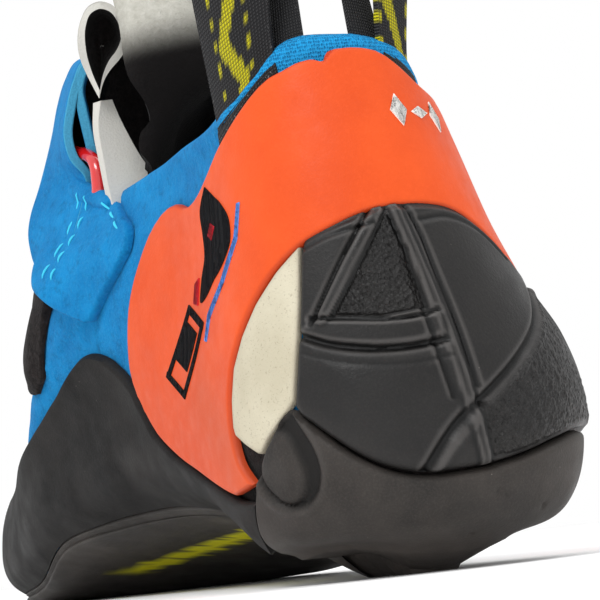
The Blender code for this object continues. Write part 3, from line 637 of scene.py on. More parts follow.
def webbing(name):
    """Black woven webbing, with fine ribs across and flecks."""
    mat, tree, shader = fresh(name)
    weave = tree.nodes.new("ShaderNodeTexWave")
    weave.bands_direction = "Y"
    weave.inputs["Scale"].default_value = 520.0
    weave.inputs["Distortion"].default_value = 0.6
    tree.links.new(skin_vector(tree), weave.inputs["Vector"])
    cross = tree.nodes.new("ShaderNodeTexWave")
    cross.bands_direction = "X"
    cross.inputs["Scale"].default_value = 420.0
    cross.inputs["Distortion"].default_value = 0.5
    tree.links.new(skin_vector(tree), cross.inputs["Vector"])
    height = sums(tree, "MULTIPLY", weave.outputs["Fac"], cross.outputs["Fac"])
    colour = blend(tree, height, (0.006, 0.006, 0.007), (0.05, 0.05, 0.052))
    flecks = span(tree, noise(tree, 2600.0, 3.0, 0.7), 0.60, 0.72)
    colour = blend(tree, sums(tree, "MULTIPLY", flecks, mark(tree, "edge")), colour,
                   (0.36, 0.36, 0.36))
    thread = sums(tree, "MULTIPLY", mark(tree, "yellow"), span(tree, height, -0.1, 0.35))
    colour = blend(tree, thread, colour, (0.66, 0.60, 0.008))
    tree.links.new(colour, shader.inputs["Base Color"])
    shader.inputs["Roughness"].default_value = 0.8
    shader.inputs["Specular IOR Level"].default_value = 0.25
    bump(tree, shader, height, 0.00035, 1.0)
    return mat


def plain(name, colour, rough, coat=0.0, grain=0.00008, scale=2200.0, spec=0.5, light=1.25):
    """A plain material with a fine grain."""
    mat, tree, shader = fresh(name)
    share = span(tree, noise(tree, scale, 4.0, 0.65), 0.35, 0.75, 0.0, 0.6)
    mixed = blend(tree, share, colour, tuple(min(v * light, 1.0) for v in colour))
    tree.links.new(mixed, shader.inputs["Base Color"])
    shader.inputs["Roughness"].default_value = rough
    shader.inputs["Coat Weight"].default_value = coat
    shader.inputs["Coat Roughness"].default_value = 0.08
    shader.inputs["Specular IOR Level"].default_value = spec
    bump(tree, shader, noise(tree, scale, 3.0), grain, 0.8)
    return mat


suede_blue = suede("suede_blue", (0.003, 0.155, 0.400), (0.005, 0.220, 0.520),
                   (0.030, 0.330, 0.600))
heel_black = rubber("heel_black", (0.0070, 0.0066, 0.0066), (0.030, 0.027, 0.025), 0.42, True,
                    0.28, 0.22)
sole_black = rubber("sole_black", (0.0100, 0.0094, 0.0090), (0.070, 0.060, 0.053), 0.55, True,
                    0.20, 0.40)
rand_black = rubber("rand_black", (0.0065, 0.0062, 0.0062), (0.034, 0.031, 0.029), 0.62, True,
                    0.14, 0.30)
band_orange = leather_band("band_orange_face")
cream_speckled = speckled("cream_speckled")
edge_cream = plain("edge_cream", (0.52, 0.51, 0.47), 0.8, grain=0.0002, light=1.15, spec=0.2)
lining_black = lining("lining_black", (0.006, 0.005, 0.005), (0.030, 0.024, 0.023))
collar_knit = knitted("collar_knit")
loop_black = webbing("loop_black")
ring_red = plain("ring_red_gloss", (0.55, 0.008, 0.010), 0.22, 1.0, 0.00001, 200.0)
thread_cyan = plain("thread_cyan", (0.03, 0.52, 0.72), 0.7, grain=0.00005)
mark_yellow = plain("mark_yellow", (0.78, 0.72, 0.01), 0.6, grain=0.0001)
mark_black = plain("mark_black", (0.010, 0.010, 0.012), 0.8, grain=0.00001, spec=0.1)
mark_white = plain("mark_white", (0.88, 0.86, 0.82), 0.8, grain=0.00001, spec=0.1, light=1.0)
mark_blue = plain("mark_blue", (0.10, 0.28, 0.80), 0.8, grain=0.00001, spec=0.1)
mark_red = plain("mark_red", (0.50, 0.02, 0.03), 0.8, grain=0.00001, spec=0.1)

# Upper.

UPPER_STEP = 0.0021


QUARTER_RISE = 0.024


def build_upper():
    """Blue suede upper with its lining, a soft collar roll and a knit part at the heel."""
    count = int(2.0 * HALF_RUN / UPPER_STEP)
    run = np.linspace(-HALF_RUN, HALF_RUN, count)
    share = np.linspace(0.0, 1.0, 72) ** 0.9
    top = topline(run) + QUARTER_RISE * np.exp(-((run - 0.078) / 0.016) ** 2)
    place = share[None, :] * top[:, None]
    runs = np.broadcast_to(run[:, None], place.shape).copy()
    across, height = runs * 1000.0, up(place)
    below = up(np.broadcast_to(top[:, None], place.shape)) - height
    open_edge = 1.0 - smooth((np.abs(runs) - 0.140) / 0.008)
    roll = 0.7 * np.exp(-((below - 2.2) / 2.0) ** 2) * open_edge
    edge = rounded(below, 1.0, 1.2, 0.1) - 1.0
    fold = 0.25 * wobble(across, height, 26.0, 3) + 0.10 * wobble(across, height, 9.0, 5)
    front = smooth((np.abs(runs) - 0.120) / 0.03)
    creases = 0.0
    for centre, wide, deep in ((0.158, 2.2, 0.55), (0.170, 2.0, 0.40), (0.181, 2.2, 0.30)):
        line = np.abs(across) - centre * 1000.0 + 0.10 * (height - 70.0)
        creases = creases - deep * np.exp(-(line / wide) ** 2) * smooth((height - 45.0) / 30.0)
    for line in SEAMS:
        creases = creases - 0.5 * np.exp(-(away_from(across, height, metric(line)) / 0.5) ** 2)
        beside = metric(line) + (0.0, 1.6)
        creases = creases + 0.3 * np.exp(-(away_from(across, height, beside) / 1.2) ** 2)
    lift = fold * (0.35 + 0.65 * front) + creases + (roll + edge) * open_edge
    heel = 1.0 - smooth((np.abs(across) - 55.0) / 10.0)
    sunk = (2.3 * (1.0 - smooth(height / 15.0)) + 0.6 * smooth((27.0 - height) / 4.0)) * heel
    lift = lift - sunk
    inner = -UPPER_WALL * 1000.0 - 0.5 * roll * open_edge - sunk
    outer_points = shell_point(runs, place, lift * 0.001)
    inner_points = shell_point(runs, place, inner * 0.001)
    knit = ((np.abs(across) < 44.0) & (below < 16.0))
    rows, columns = place.shape
    total = rows * columns
    front_faces = grid_faces(rows, columns)
    back_faces = grid_faces(rows, columns, total, True)
    walls = np.concatenate(edge_walls(rows, columns, total, False)[:2])
    on_knit = knit.ravel()[front_faces[:, 0]]
    covered = ((height < 27.0) & (np.abs(across) < 60.0)).ravel()[front_faces[:, 0]]
    slots = np.concatenate([np.where(on_knit, 2, np.where(covered, 1, 0)), np.ones(len(back_faces)),
                            np.zeros(len(walls))])
    skin = np.stack([runs, height * 0.001, np.zeros_like(runs)], -1).reshape(-1, 3)
    points = np.concatenate([outer_points.reshape(-1, 3), inner_points.reshape(-1, 3)])
    piece = make("upper_suede", points, np.concatenate([front_faces, back_faces, walls]),
                 [suede_blue, lining_black, collar_knit], slots,
                 {"skin": np.concatenate([skin, skin])}, 1.2)
    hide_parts("upper")


# Outlines on the skin: run in millimetres, place up the side.
RIM = np.array([
    (-86, 0.035), (-70, 0.110), (-57, 0.220), (-45, 0.275), (-32, 0.285), (-18, 0.258),
    (-9, 0.232), (0, 0.216), (8, 0.218), (14.8, 0.247), (21.3, 0.300), (25, 0.338),
    (28.0, 0.366), (32, 0.342), (35.2, 0.300), (37.8, 0.250), (41, 0.180), (44, 0.120),
    (48, 0.070), (55, 0.035),
])
BAND_OUTER = ((40.0, 0.242), (48.2, 0.226), (57.3, 0.220), (68.8, 0.223), (85.5, 0.240),
              (95.5, 0.275), (101.0, 0.333), (101.8, 0.385), (100.4, 0.445), (98.0, 0.515),
              (96.5, 0.555), (92.3, 0.635), (87.0, 0.698), (79.5, 0.738), (76.5, 0.744),
              (68.5, 0.730), (60.8, 0.738), (53.3, 0.760), (48.5, 0.780), (41.3, 0.805),
              (34.8, 0.830), (28.8, 0.853), (24.0, 0.868), (19.5, 0.875), (15.5, 0.883),
              (11.8, 0.885), (9.3, 0.877), (7.6, 0.893), (3.0, 0.899), (-0.3, 0.899),
              (-6.5, 0.890), (-11.5, 0.872), (-17.5, 0.848), (-34.0, 0.825), (-48.0, 0.795),
              (-68.0, 0.740), (-85.0, 0.690), (-98.0, 0.610), (-103.5, 0.500), (-101.0, 0.370),
              (-95.0, 0.275), (-84.0, 0.228), (-74.0, 0.218), (-66.0, 0.225))
BAND_INNER = ((40.0, 0.242), (44.3, 0.302), (45.2, 0.360), (44.8, 0.405), (43.3, 0.453),
              (39.8, 0.495), (35.0, 0.535), (28.8, 0.573), (22.3, 0.600), (14.5, 0.620),
              (5.8, 0.638), (0.0, 0.643), (-5.7, 0.642), (-12.5, 0.633), (-20.0, 0.603),
              (-26.0, 0.565), (-32.0, 0.520), (-40.0, 0.440), (-48.0, 0.350), (-56.0, 0.270),
              (-66.0, 0.225))
CUP_EDGE = np.array([(0.20, 20.5), (0.30, 23.5), (0.338, 25.6), (0.372, 27.3), (0.453, 25.3),
                     (0.522, 23.5), (0.600, 21.8), (0.66, 20.5)])
PANEL_NEAR = np.array([(0.300, 36.6), (0.322, 34.6), (0.345, 31.8), (0.367, 28.8),
                       (0.380, 27.4), (0.453, 25.6), (0.522, 23.8), (0.602, 22.1)])
PANEL_FAR = np.array([(0.300, 37.6), (0.322, 41.2), (0.345, 44.4), (0.360, 44.9), (0.405, 44.5),
                      (0.453, 43.0), (0.495, 39.5), (0.535, 34.7), (0.573, 28.5), (0.602, 22.5)])
TEARDROP = ((37.0, 0.300), (34.0, 0.325), (30.6, 0.353), (28.4, 0.368), (26.0, 0.335),
            (24.0, 0.290), (23.4, 0.245), (24.5, 0.208), (27.3, 0.183), (31.2, 0.180),
            (35.0, 0.205), (37.5, 0.250))
LEAF = ((35.8, 0.296), (33.5, 0.318), (31.4, 0.334), (29.8, 0.325), (28.0, 0.285),
        (26.9, 0.245), (27.4, 0.215), (29.2, 0.197), (31.8, 0.196), (34.4, 0.218),
        (36.4, 0.255))
RAND_HIGH = np.array([
    (-284, 0.660), (-250, 0.590), (-220, 0.520), (-190, 0.455), (-165, 0.420), (-140, 0.405),
    (-125, 0.390), (-112, 0.385), (-103, 0.345), (-98, 0.262), (-88, 0.222), (-76, 0.208),
    (-66, 0.205), (43.6, 0.205), (48.2, 0.214), (57.3, 0.209), (68.8, 0.212), (85.5, 0.229),
    (95.8, 0.262), (101.6, 0.325), (103.6, 0.366), (108.4, 0.418), (112.5, 0.456),
    (117.8, 0.480), (122.0, 0.482), (128.0, 0.470), (136.0, 0.452), (146.0, 0.452),
    (160.5, 0.473), (180.0, 0.490), (220.0, 0.560), (250.0, 0.620), (284.0, 0.660),
])
RUBBER = 2.5
BAND = 2.0
PANEL = 1.6


def rim(across):
    """Place of the sole's rim at a run in millimetres."""
    return curve(RIM[:, 0], RIM[:, 1], across)


def ruled(name, near, far, height, mats, thickness, radius, marks=None, detail=None, replace=None):
    """A shell piece with a row for each place between two side borders."""
    share = np.linspace(0.0, 1.0, 90)
    start = np.interp(height, near[:, 0], near[:, 1])[:, None]
    end = np.interp(height, far[:, 0], far[:, 1])[:, None]
    across = start + (end - start) * share[None, :]
    place = np.broadcast_to(height[:, None], across.shape)
    outline = np.concatenate([np.stack([start[:, 0], up(height)], -1),
                              np.stack([end[:, 0], up(height)], -1)[::-1]])
    edge = np.maximum(inwards(across, up(place), outline), 0.0)
    lift = rounded(edge, thickness, radius)
    if detail is not None:
        lift = lift + detail(across, up(place))
    values = {"edge": 1.0 - smooth(edge / 1.2), "dust_and_shade": np.zeros_like(edge)}
    values.update(marks or {})
    return on_last(name, (across * 0.001).T, place.T, (lift * 0.001).T, 0.0003, mats,
                   {key: value.T for key, value in values.items()})


def groove(across, upward, line, width, depth):
    """A rounded groove along a line."""
    return -depth * np.exp(-(away_from(across, upward, line) / width) ** 2)


def heel_relief(across, upward):
    """Raised bars, panels and grooves of the heel cup, and where it is pebbled."""
    bar_left = metric(((4.6, 0.640), (13.0, 0.560), (19.6, 0.491)))
    rib_line = metric(((1.2, 0.642), (0.6, 0.600), (0.0, 0.530), (-0.3, 0.465), (-0.6, 0.400),
                       (-1.0, 0.350), (-1.8, 0.290), (-2.8, 0.226)))
    triangle = metric(((2.6, 0.640), (4.2, 0.625), (17.8, 0.492), (9.0, 0.480), (1.0, 0.486),
                       (1.2, 0.560)))
    bar_top = metric(((21.6, 0.490), (15.0, 0.481), (9.0, 0.473), (4.0, 0.472), (-0.2, 0.478)))
    bar_low = metric(((24.4, 0.478), (18.5, 0.456), (10.5, 0.440), (5.0, 0.438), (0.2, 0.443)))
    cut = metric(((-30.5, 0.528), (-25.5, 0.490), (-20.5, 0.455), (-16.2, 0.430), (-8.7, 0.383),
                  (-2.0, 0.334), (1.8, 0.296), (6.6, 0.226)))
    lip = metric(((-45.0, 0.275), (-32.0, 0.285), (-18.0, 0.258), (-9.0, 0.232), (0.0, 0.216),
                  (8.0, 0.218), (14.8, 0.247), (21.3, 0.300), (26.0, 0.350)))
    left_strip = metric(((22.5, 0.590), (16.0, 0.606), (9.0, 0.615), (6.0, 0.618)))
    right_strip = metric(((-3.0, 0.618), (-9.0, 0.622), (-16.0, 0.606), (-24.0, 0.560)))
    cut, lip = bent(cut, 40), bent(lip, 60)
    rib_line = bent(rib_line, 30)

    pebbled_right = np.concatenate([cut[:28], rib_line[18:], lip[::-1][30:]])
    pebble = step_in(inwards(across, upward, triangle) - 0.5, 0.5)
    low_right = inwards(across, upward, pebbled_right)
    pebble = np.maximum(pebble, step_in(low_right - 1.6, 0.8))

    lift = np.zeros(np.shape(across))
    lift -= 0.55 * step_in(inwards(across, upward, triangle) + 0.1, 0.5)
    lift -= 0.25 * step_in(low_right - 1.0, 1.0)
    far = away_from(across, upward, bar_left)
    lift += 0.45 * (1.0 - smooth((far - 0.7) / 0.7))
    far = away_from(across, upward, rib_line)
    lift += 0.42 * (1.0 - smooth((far - 0.55) / 0.6))
    lift += groove(across, upward, bent(metric(((6.2, 0.640), (14.8, 0.560), (21.6, 0.487))), 20),
                   0.55, 0.75)
    side = metric(((-1.0, 0.640), (-1.9, 0.600), (-2.2, 0.530), (-2.4, 0.465), (-2.5, 0.400),
                   (-2.8, 0.350), (-3.6, 0.290), (-4.4, 0.236)))
    lift += groove(across, upward, bent(side, 30)[:22], 0.50, 0.55)
    side = metric(((1.9, 0.560), (1.7, 0.465), (1.4, 0.400), (0.9, 0.350)))
    lift += groove(across, upward, bent(side, 20), 0.55, 0.55)
    bar = np.concatenate([bar_top, bar_low[::-1]])
    lift += 0.30 * step_in(inwards(across, upward, bar), 0.8)
    lift += groove(across, upward, bent(bar_low - np.array([0.0, 0.5]), 30), 0.75, 1.10)
    lift += groove(across, upward, bent(bar_top + np.array([0.0, 0.5]), 30), 0.45, 0.65)
    lower = bar_low - np.array([0.0, 3.3])
    lift += groove(across, upward, bent(lower, 30), 0.55, 0.18)
    lift += groove(across, upward, cut, 0.80, 1.10)
    lift += 0.30 * np.exp(-((away_from(across, upward, cut - np.array([1.1, 1.5]))) / 0.7) ** 2)
    lift += groove(across, upward, bent(left_strip, 20), 0.5, 0.40)
    lift += groove(across, upward, bent(right_strip, 20), 0.6, 0.40)
    middle = np.concatenate([lip[32:56], bar_low[::1]])
    bulge = np.maximum(inwards(across, upward, middle), 0.0)
    lift += 0.5 * smooth(bulge / 9.0)
    grit = 0.09 * wobble(across, upward, 2.3, 11) + 0.06 * wobble(across, upward, 1.3, 12)
    return lift + grit * pebble, pebble


def build_cup():
    """Moulded heel cup above the lip groove."""
    first = np.linspace(-62.0, 24.2, 250)
    share = np.linspace(0.0, 1.0, 160)
    high_line = bent(metric(BAND_INNER), 400)
    order = np.argsort(high_line[:, 0])
    high_line = high_line[order]
    across = np.broadcast_to(first[:, None], (len(first), len(share))).copy()
    warp = smooth((across - 4.0) / 20.2)
    for _ in range(3):
        low = up(rim(across)) + 0.55
        high = np.interp(across, high_line[:, 0], high_line[:, 1]) + 0.2
        height = low + (high - low) * share[None, :]
        end = np.interp(place_of(height), CUP_EDGE[:, 0], CUP_EDGE[:, 1])
        across = first[:, None] + warp * (end - 24.2)
    relief, pebble = heel_relief(across, height)
    from_low, from_high = height - low, high - height
    from_end = end - across
    edge = np.minimum(from_low * 0.8, from_end)
    lift = rounded(np.maximum(edge, 0.0), RUBBER, 1.5, 0.30) + relief
    lift -= 0.9 * (1.0 - smooth(from_high / 1.6))
    fuller = smooth((height - 14.0) / 12.0) * smooth((52.0 - height) / 12.0)
    lift += 2.6 * np.exp(-((across + 46.0) / 15.0) ** 2) * fuller
    # Lighter on raised edges (a painted highlight, partly wear) and near black in the grooves (painted
    # shade).
    near = relief.copy()
    for axis in (0, 1):
        near = sum(np.roll(near, shift, axis) for shift in range(-2, 3)) / 5.0
    worn_and_highlight = np.clip((relief - near) * 6.0 - 0.15, 0.0, 0.6) * (1.0 - pebble)
    deep = np.clip((near - relief) * 9.0, 0.0, 1.0) * (1.0 - 0.7 * pebble)
    dust_and_shade = 0.25 * np.exp(-((from_low - 1.5) / 2.0) ** 2) + 0.35 * smooth(-relief - 0.35)
    on_last("heel_cup_rubber", across * 0.001, place_of(height), lift * 0.001, 0.0003,
            [heel_black], {"pebble": pebble, "dust_and_shade": dust_and_shade, "worn_and_highlight": worn_and_highlight, "deep": deep})
    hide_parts("heel_cup")


def build_panel():
    """Cream side panel of the heel."""
    height = np.linspace(0.3005, 0.6015, 150)
    piece = ruled("heel_panel_cream", PANEL_NEAR, PANEL_FAR, height, [cream_speckled], PANEL, 0.5)
    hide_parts("heel_panel")


def band_lift(across, height, edge):
    """Height of the band's face over the last, in millimetres."""
    lift = rounded(edge, BAND, 0.9, 0.45) + 0.12 * wobble(across, height, 30.0, 7)
    ridge = away_from(across, height, metric(((82.0, 0.60), (96.0, 0.42))))
    lift += 0.7 * np.exp(-((across + 44.0) / 13.0) ** 2) * smooth(edge / 3.0)
    return lift + 0.35 * np.exp(-(ridge / 6.0) ** 2)


def print_on(name, shapes, lift, mat, depth=0.22, soft=False):
    """Thin printed shapes on the last. lift works out the height of the face under them."""
    points, faces = [], []
    for shape in shapes:
        line = metric(shape)
        if soft and len(line) > 6:
            line = bent(np.concatenate([line, line[:1]]), 90)[:-1]
        line = np.concatenate([np.linspace(a, b, 1 + max(1, int(np.hypot(*(b - a)) / 0.8)))[:-1]
                               for a, b in zip(line, np.roll(line, -1, axis=0))])
        low, high = line.min(axis=0), line.max(axis=0)
        x, y = np.meshgrid(np.arange(low[0], high[0], 1.2), np.arange(low[1], high[1], 1.2))
        keep = inwards(x, y, line) > 0.5
        count = len(line)
        flat = np.concatenate([line, np.stack([x[keep], y[keep]], -1)])
        edges = [(i, (i + 1) % count) for i in range(count)]
        found = delaunay_2d_cdt([Vector(p) for p in flat], edges, [], 1, 1e-6)
        flat = np.array([tuple(v) for v in found[0]])
        first = len(points)
        tall = lift(flat[:, 0], flat[:, 1])
        top = shell_point(flat[:, 0] * 0.001, place_of(flat[:, 1]), (tall + depth) * 0.001)
        low_side = shell_point(flat[:, 0] * 0.001, place_of(flat[:, 1]), (tall - 0.05) * 0.001)
        points += list(top) + list(low_side)
        turn = len(flat)
        for face in found[2]:
            a, b, c = face
            (x0, y0), (x1, y1), (x2, y2) = flat[a], flat[b], flat[c]
            if (x1 - x0) * (y2 - y0) - (x2 - x0) * (y1 - y0) < 0.0:
                b, c = c, b
            faces.append((first + a, first + c, first + b))
        rim_edges = {}
        for face in faces[-len(found[2]):]:
            for a, b in zip(face, face[1:] + face[:1]):
                rim_edges[(a, b)] = rim_edges.pop((b, a), None) or (a, b)
                if (b, a) in rim_edges:
                    del rim_edges[(b, a)]
        for a, b in rim_edges:
            faces.append((b, a, a + turn))
            faces.append((b, a + turn, b + turn))
    piece = make(name, np.array(points), np.array(faces), [mat], sharp=0.7)
    return piece


def build_band():
    """Orange band from the medial arch over the heel to the lateral arch."""
    count, wide = 420, 96
    outer, inner = metric(BAND_OUTER), metric(BAND_INNER)
    halves = []
    for line in (outer, inner):
        split = int(np.argmin(np.abs(line[:, 0])))
        halves.append(np.concatenate([bent(line[:split + 1], count // 2 + 1)[:-1],
                                      bent(line[split:], count // 2 + 1)]))
    share = np.linspace(0.0, 1.0, wide)[None, :, None]
    flat = halves[1][:, None, :] * (1.0 - share) + halves[0][:, None, :] * share
    flat = flat[1:-1]
    across, height = flat[..., 0], flat[..., 1]
    outline = np.concatenate([halves[0][::4], halves[1][::-4]])
    edge = np.maximum(inwards(across, height, outline), 0.0)
    lift = band_lift(across, height, edge)
    # A darker patch by the cream panel: painted shade where the band turns away from the light.
    dust_and_shade = np.exp(-(away_from(across, height, metric(((44.0, 0.30), (60.0, 0.40)))) / 9.0) ** 2)
    piece = on_last("sling_band_orange", (across * 0.001), place_of(height), lift * 0.001, 0.0003,
                    [band_orange], {"edge": 1.0 - smooth(edge / 0.9), "dust_and_shade": dust_and_shade * 0.6})
    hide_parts("sling_band")


def rand_line(across):
    """Upper border of the rand at a run in millimetres, going round by the toe."""
    return np.interp(across, RAND_HIGH[:, 0], RAND_HIGH[:, 1])


def build_rand():
    """Black rubber round the arch and toe, with the wing on the medial side."""
    turn = 2.0 * HALF_RUN * 1000.0
    fine = np.linspace(40.6, 170.0, 250)
    rest = np.linspace(170.0, turn - 66.0, 170)[1:]
    first = np.concatenate([fine, rest])
    here = np.where(first > HALF_RUN * 1000.0, first - turn, first)
    low = up(rim(here)) + 0.3
    high = np.maximum(up(rand_line(here)), low + 1.0)
    soft = np.convolve(np.pad(high, 4, mode="edge"), np.ones(9) / 9.0, mode="valid")
    high = np.where((here > 105.0) | (here < -105.0), soft, high)
    share = np.linspace(0.0, 1.0, 54)[None, :]
    height = low[:, None] + (high - low)[:, None] * share
    across = np.broadcast_to(here[:, None], height.shape).copy()
    slope = np.abs(np.gradient(high, first))[:, None]
    edge = (high[:, None] - height) / np.sqrt(1.0 + slope ** 2)
    lift = rounded(np.maximum(edge, 0.0), RUBBER - 0.1, 1.0, 0.40)
    lift += 0.16 * wobble(across, height, 34.0, 21) * smooth(edge / 6.0)
    toe = smooth((np.abs(across) - 205.0) / 30.0)
    lift += 0.25 * toe * smooth((edge - 0.5) / 2.0)
    scuff = np.exp(-(away_from(across, height, metric(((96.0, 0.20), (112.0, 0.16)))) / 5.0) ** 2)
    dust_and_shade = 0.45 * scuff + 0.25 * smooth((9.0 - height) / 9.0)
    piece = on_last("rand_rubber", across * 0.001, place_of(height), lift * 0.001, 0.0003,
                    [rand_black], {"pebble": np.zeros_like(edge), "dust_and_shade": dust_and_shade})
    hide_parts("rand_medial", "rand_toe", "rand_lateral")


# Sole along the feather edge: run, reach beyond it and depth below it in metres, and how much
# thinner its side is down there in millimetres.
SOLE_LATERAL = np.array([
    (0.000, -0.0040, 0.0043, 1.0), (0.012, -0.0045, 0.0040, 1.4), (0.024, -0.0052, 0.0030, 2.2),
    (0.036, -0.0052, 0.0024, 2.4), (0.050, -0.0040, 0.0026, 1.6), (0.065, 0.0012, 0.0030, 0.0),
    (0.110, 0.0018, 0.0030, 0.0), (0.150, 0.0024, 0.0040, 0.0), (0.290, 0.0026, 0.0043, 0.0),
])
SOLE_MEDIAL = np.array([
    (0.000, -0.0040, 0.0043, 1.0), (0.010, -0.0046, 0.0036, 1.6), (0.018, -0.0060, 0.0016, 3.0),
    (0.026, -0.0066, 0.0002, 3.9), (0.036, -0.0066, 0.0000, 3.9), (0.048, -0.0050, 0.0002, 2.6),
    (0.060, -0.0010, 0.0012, 0.6), (0.080, 0.0015, 0.0026, 0.0), (0.110, 0.0018, 0.0030, 0.0),
    (0.150, 0.0024, 0.0040, 0.0), (0.290, 0.0026, 0.0043, 0.0),
])


def downward(run):
    """Direction of the last's skin as it runs under at the feather edge."""
    found = surface(run, np.zeros_like(run)) - surface(run, np.full_like(run, 0.03))
    return found / np.linalg.norm(found, axis=-1, keepdims=True)


def outward(run):
    """Level direction away from the shoe at the feather edge."""
    found = normal(run, np.zeros_like(run)) * np.array([1.0, 1.0, 0.0])
    return found / np.linalg.norm(found, axis=-1, keepdims=True)


def sole_relief(across, height):
    """Relief of the heel part of the sole: the teardrop with its leaf, and nicks of wear."""
    drop = inwards(across, height, bent(metric(TEARDROP + TEARDROP[:1]), 90))
    leaf = inwards(across, height, bent(metric(LEAF + LEAF[:1]), 80))
    lift = -1.15 * step_in(drop - 0.5, 0.8) + 1.00 * step_in(leaf, 1.1)
    lift += 0.35 * smooth(leaf / 3.5)
    lift += 0.35 * np.exp(-((drop + 0.5) / 0.5) ** 2)
    for a, place, wide in ((-5.0, 0.175, 0.7), (-2.0, 0.070, 0.6), (-17.2, 0.138, 0.6),
                           (-6.4, 0.168, 0.4)):
        lift -= 0.5 * np.exp(-(np.hypot(across - a, height - up(place)) / wide) ** 2)
    return lift


# Painted stripe across the arch: a slanted plane, its half width and its reach along the shoe.
STRIPE_LEVEL, STRIPE_LEAN_X, STRIPE_LEAN_Y = 0.01517, -0.0449, -0.1957
STRIPE_HALF = 0.0010
STRIPE_FROM, STRIPE_TO = 0.012, 0.128


def striped(points):
    """How much of the painted stripe is at each point."""
    x, y, z = points[..., 0], points[..., 1], points[..., 2]
    away = np.abs(z - STRIPE_LEVEL - STRIPE_LEAN_X * x - STRIPE_LEAN_Y * y)
    ragged = 0.0006 * np.sin(900.0 * x) * np.sin(2300.0 * x)
    inside = smooth((x - STRIPE_FROM) / 0.002) * smooth((STRIPE_TO - x) / 0.006)
    return inside * smooth((STRIPE_HALF + ragged - away) / 0.0004 + 0.5) * (y > 0.0)


def build_sole():
    """One sole, from its rim round under to the other rim."""
    away = np.concatenate([np.linspace(0.0, 0.056, 120), np.linspace(0.056, HALF_RUN, 140)[1:]])
    steps = np.linspace(1.0, 0.0, 54)[None, :]
    outside, inside, dusts, skins, lows = [], [], [], [], []
    for sign, table in ((-1.0, SOLE_LATERAL), (1.0, SOLE_MEDIAL)):
        run = sign * away
        top = np.minimum(rim(run * 1000.0), 0.5)
        place = top[:, None] * steps
        runs = np.broadcast_to(run[:, None], place.shape)
        height = up(place)
        from_top = up(top)[:, None] - height
        relief = sole_relief(runs * 1000.0, height)
        lift = rounded(from_top, RUBBER + 0.15, 1.3, 0.35) + relief
        heel_part = smooth((0.060 - np.abs(runs)) / 0.015)
        lift = lift * heel_part + (1.0 - heel_part) * rounded(from_top, RUBBER + 0.3, 0.6, 0.5)
        thin = np.interp(away, table[:, 0], table[:, 3])[:, None]
        lift = lift - thin * (1.0 - smooth(height / 11.0)) ** 1.5
        side = shell_point(runs, place, np.maximum(lift, -1.4) * 0.001)
        foot = surface(run, np.zeros_like(run))
        reach = np.interp(away, table[:, 0], table[:, 1])[:, None]
        depth = np.interp(away, table[:, 0], table[:, 2])[:, None]
        corner = foot + outward(run) * reach - np.array([0.0, 0.0, 1.0]) * depth
        knee = corner + outward(run) * 0.0008 + np.array([0.0, 0.0, 0.25]) * depth
        under = corner - outward(run) * 0.0022
        under[:, 2] = np.maximum(under[:, 2], 0.0)
        knee[:, 2] = np.maximum(knee[:, 2], 0.0002)
        start = side[:, -1]
        arcs = np.stack([start * (1 - s) ** 2 + knee * 2 * s * (1 - s) + under * s ** 2
                         for s in np.linspace(0.12, 1.0, 8)], 1)
        outside.append(np.concatenate([side, arcs], 1))
        low_dust = 0.25 + 0.55 * smooth((12.0 - height) / 12.0)
        drop = inwards(runs * 1000.0, height, metric(TEARDROP))
        low_dust = np.where(drop > 0.0, 0.05, low_dust)
        dust_and_shade = np.concatenate([low_dust, np.full(arcs.shape[:2], 0.75)], 1)
        dusts.append(dust_and_shade * (0.45 + 0.55 * smooth((0.07 - away) / 0.02))[:, None])
        tall = np.concatenate([height, np.linspace(-0.5, -5.0, 8)[None, :].repeat(len(run), 0)], 1)
        skins.append(np.stack([np.broadcast_to(run[:, None], tall.shape), tall * 0.001,
                               np.zeros_like(tall)], -1))
        lows.append(np.concatenate([relief, np.zeros(arcs.shape[:2])], 1))
        found = shell_point(runs, place, np.minimum(0.2, lift - 0.8) * 0.001)
        inside.append(found)
    share = np.linspace(0.0, 1.0, 24)[1:-1]

    def bridge(left, right):
        return (left[:, None, :] * (1.0 - share)[None, :, None]
                + right[:, None, :] * share[None, :, None])

    middle = bridge(outside[0][:, -1], outside[1][:, -1])
    x = middle[..., 0]
    sag = (0.0045 * smooth((0.030 - x) / 0.02) + 0.0012) * 4.0 * share * (1.0 - share)
    middle[..., 2] = np.maximum(middle[..., 2] - sag, 0.0)
    outer = np.concatenate([outside[0], middle, outside[1][:, ::-1]], 1)
    dust_and_shade = np.concatenate([dusts[0], np.full(middle.shape[:2], 0.5), dusts[1][:, ::-1]], 1)
    relief = np.concatenate([lows[0], np.zeros(middle.shape[:2]), lows[1][:, ::-1]], 1)
    skin = np.concatenate([skins[0], middle * np.array([1.0, 1.0, 0.0]), skins[1][:, ::-1]], 1)
    fill = outer.shape[1] - 2 * inside[0].shape[1]
    share = np.linspace(0.0, 1.0, fill + 2)[1:-1]
    inner = np.concatenate([inside[0], bridge(inside[0][:, -1], inside[1][:, -1]),
                            inside[1][:, ::-1]], 1)
    # The teardrop groove is marked deep for painted shade, and its raised leaf is marked lighter for a
    # painted highlight.
    piece = closed("sole_rubber_piece", outer, inner, [sole_black],
                   {"dust_and_shade": dust_and_shade, "stripe": striped(outer), "skin": skin,
                    "deep": 0.9 * np.clip(-relief - 0.3, 0.0, 1.0),
                    "worn_and_highlight": 0.8 * np.clip(relief - 0.12, 0.0, 0.6)})
    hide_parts("outsole")


def thicken(grid, thickness):
    """The same grid moved by a thickness along its own direction."""
    along, over = np.gradient(grid, axis=0), np.gradient(grid, axis=1)
    direction = np.cross(over, along)
    direction /= np.linalg.norm(direction, axis=-1, keepdims=True) + 1e-12
    return grid - direction * thickness


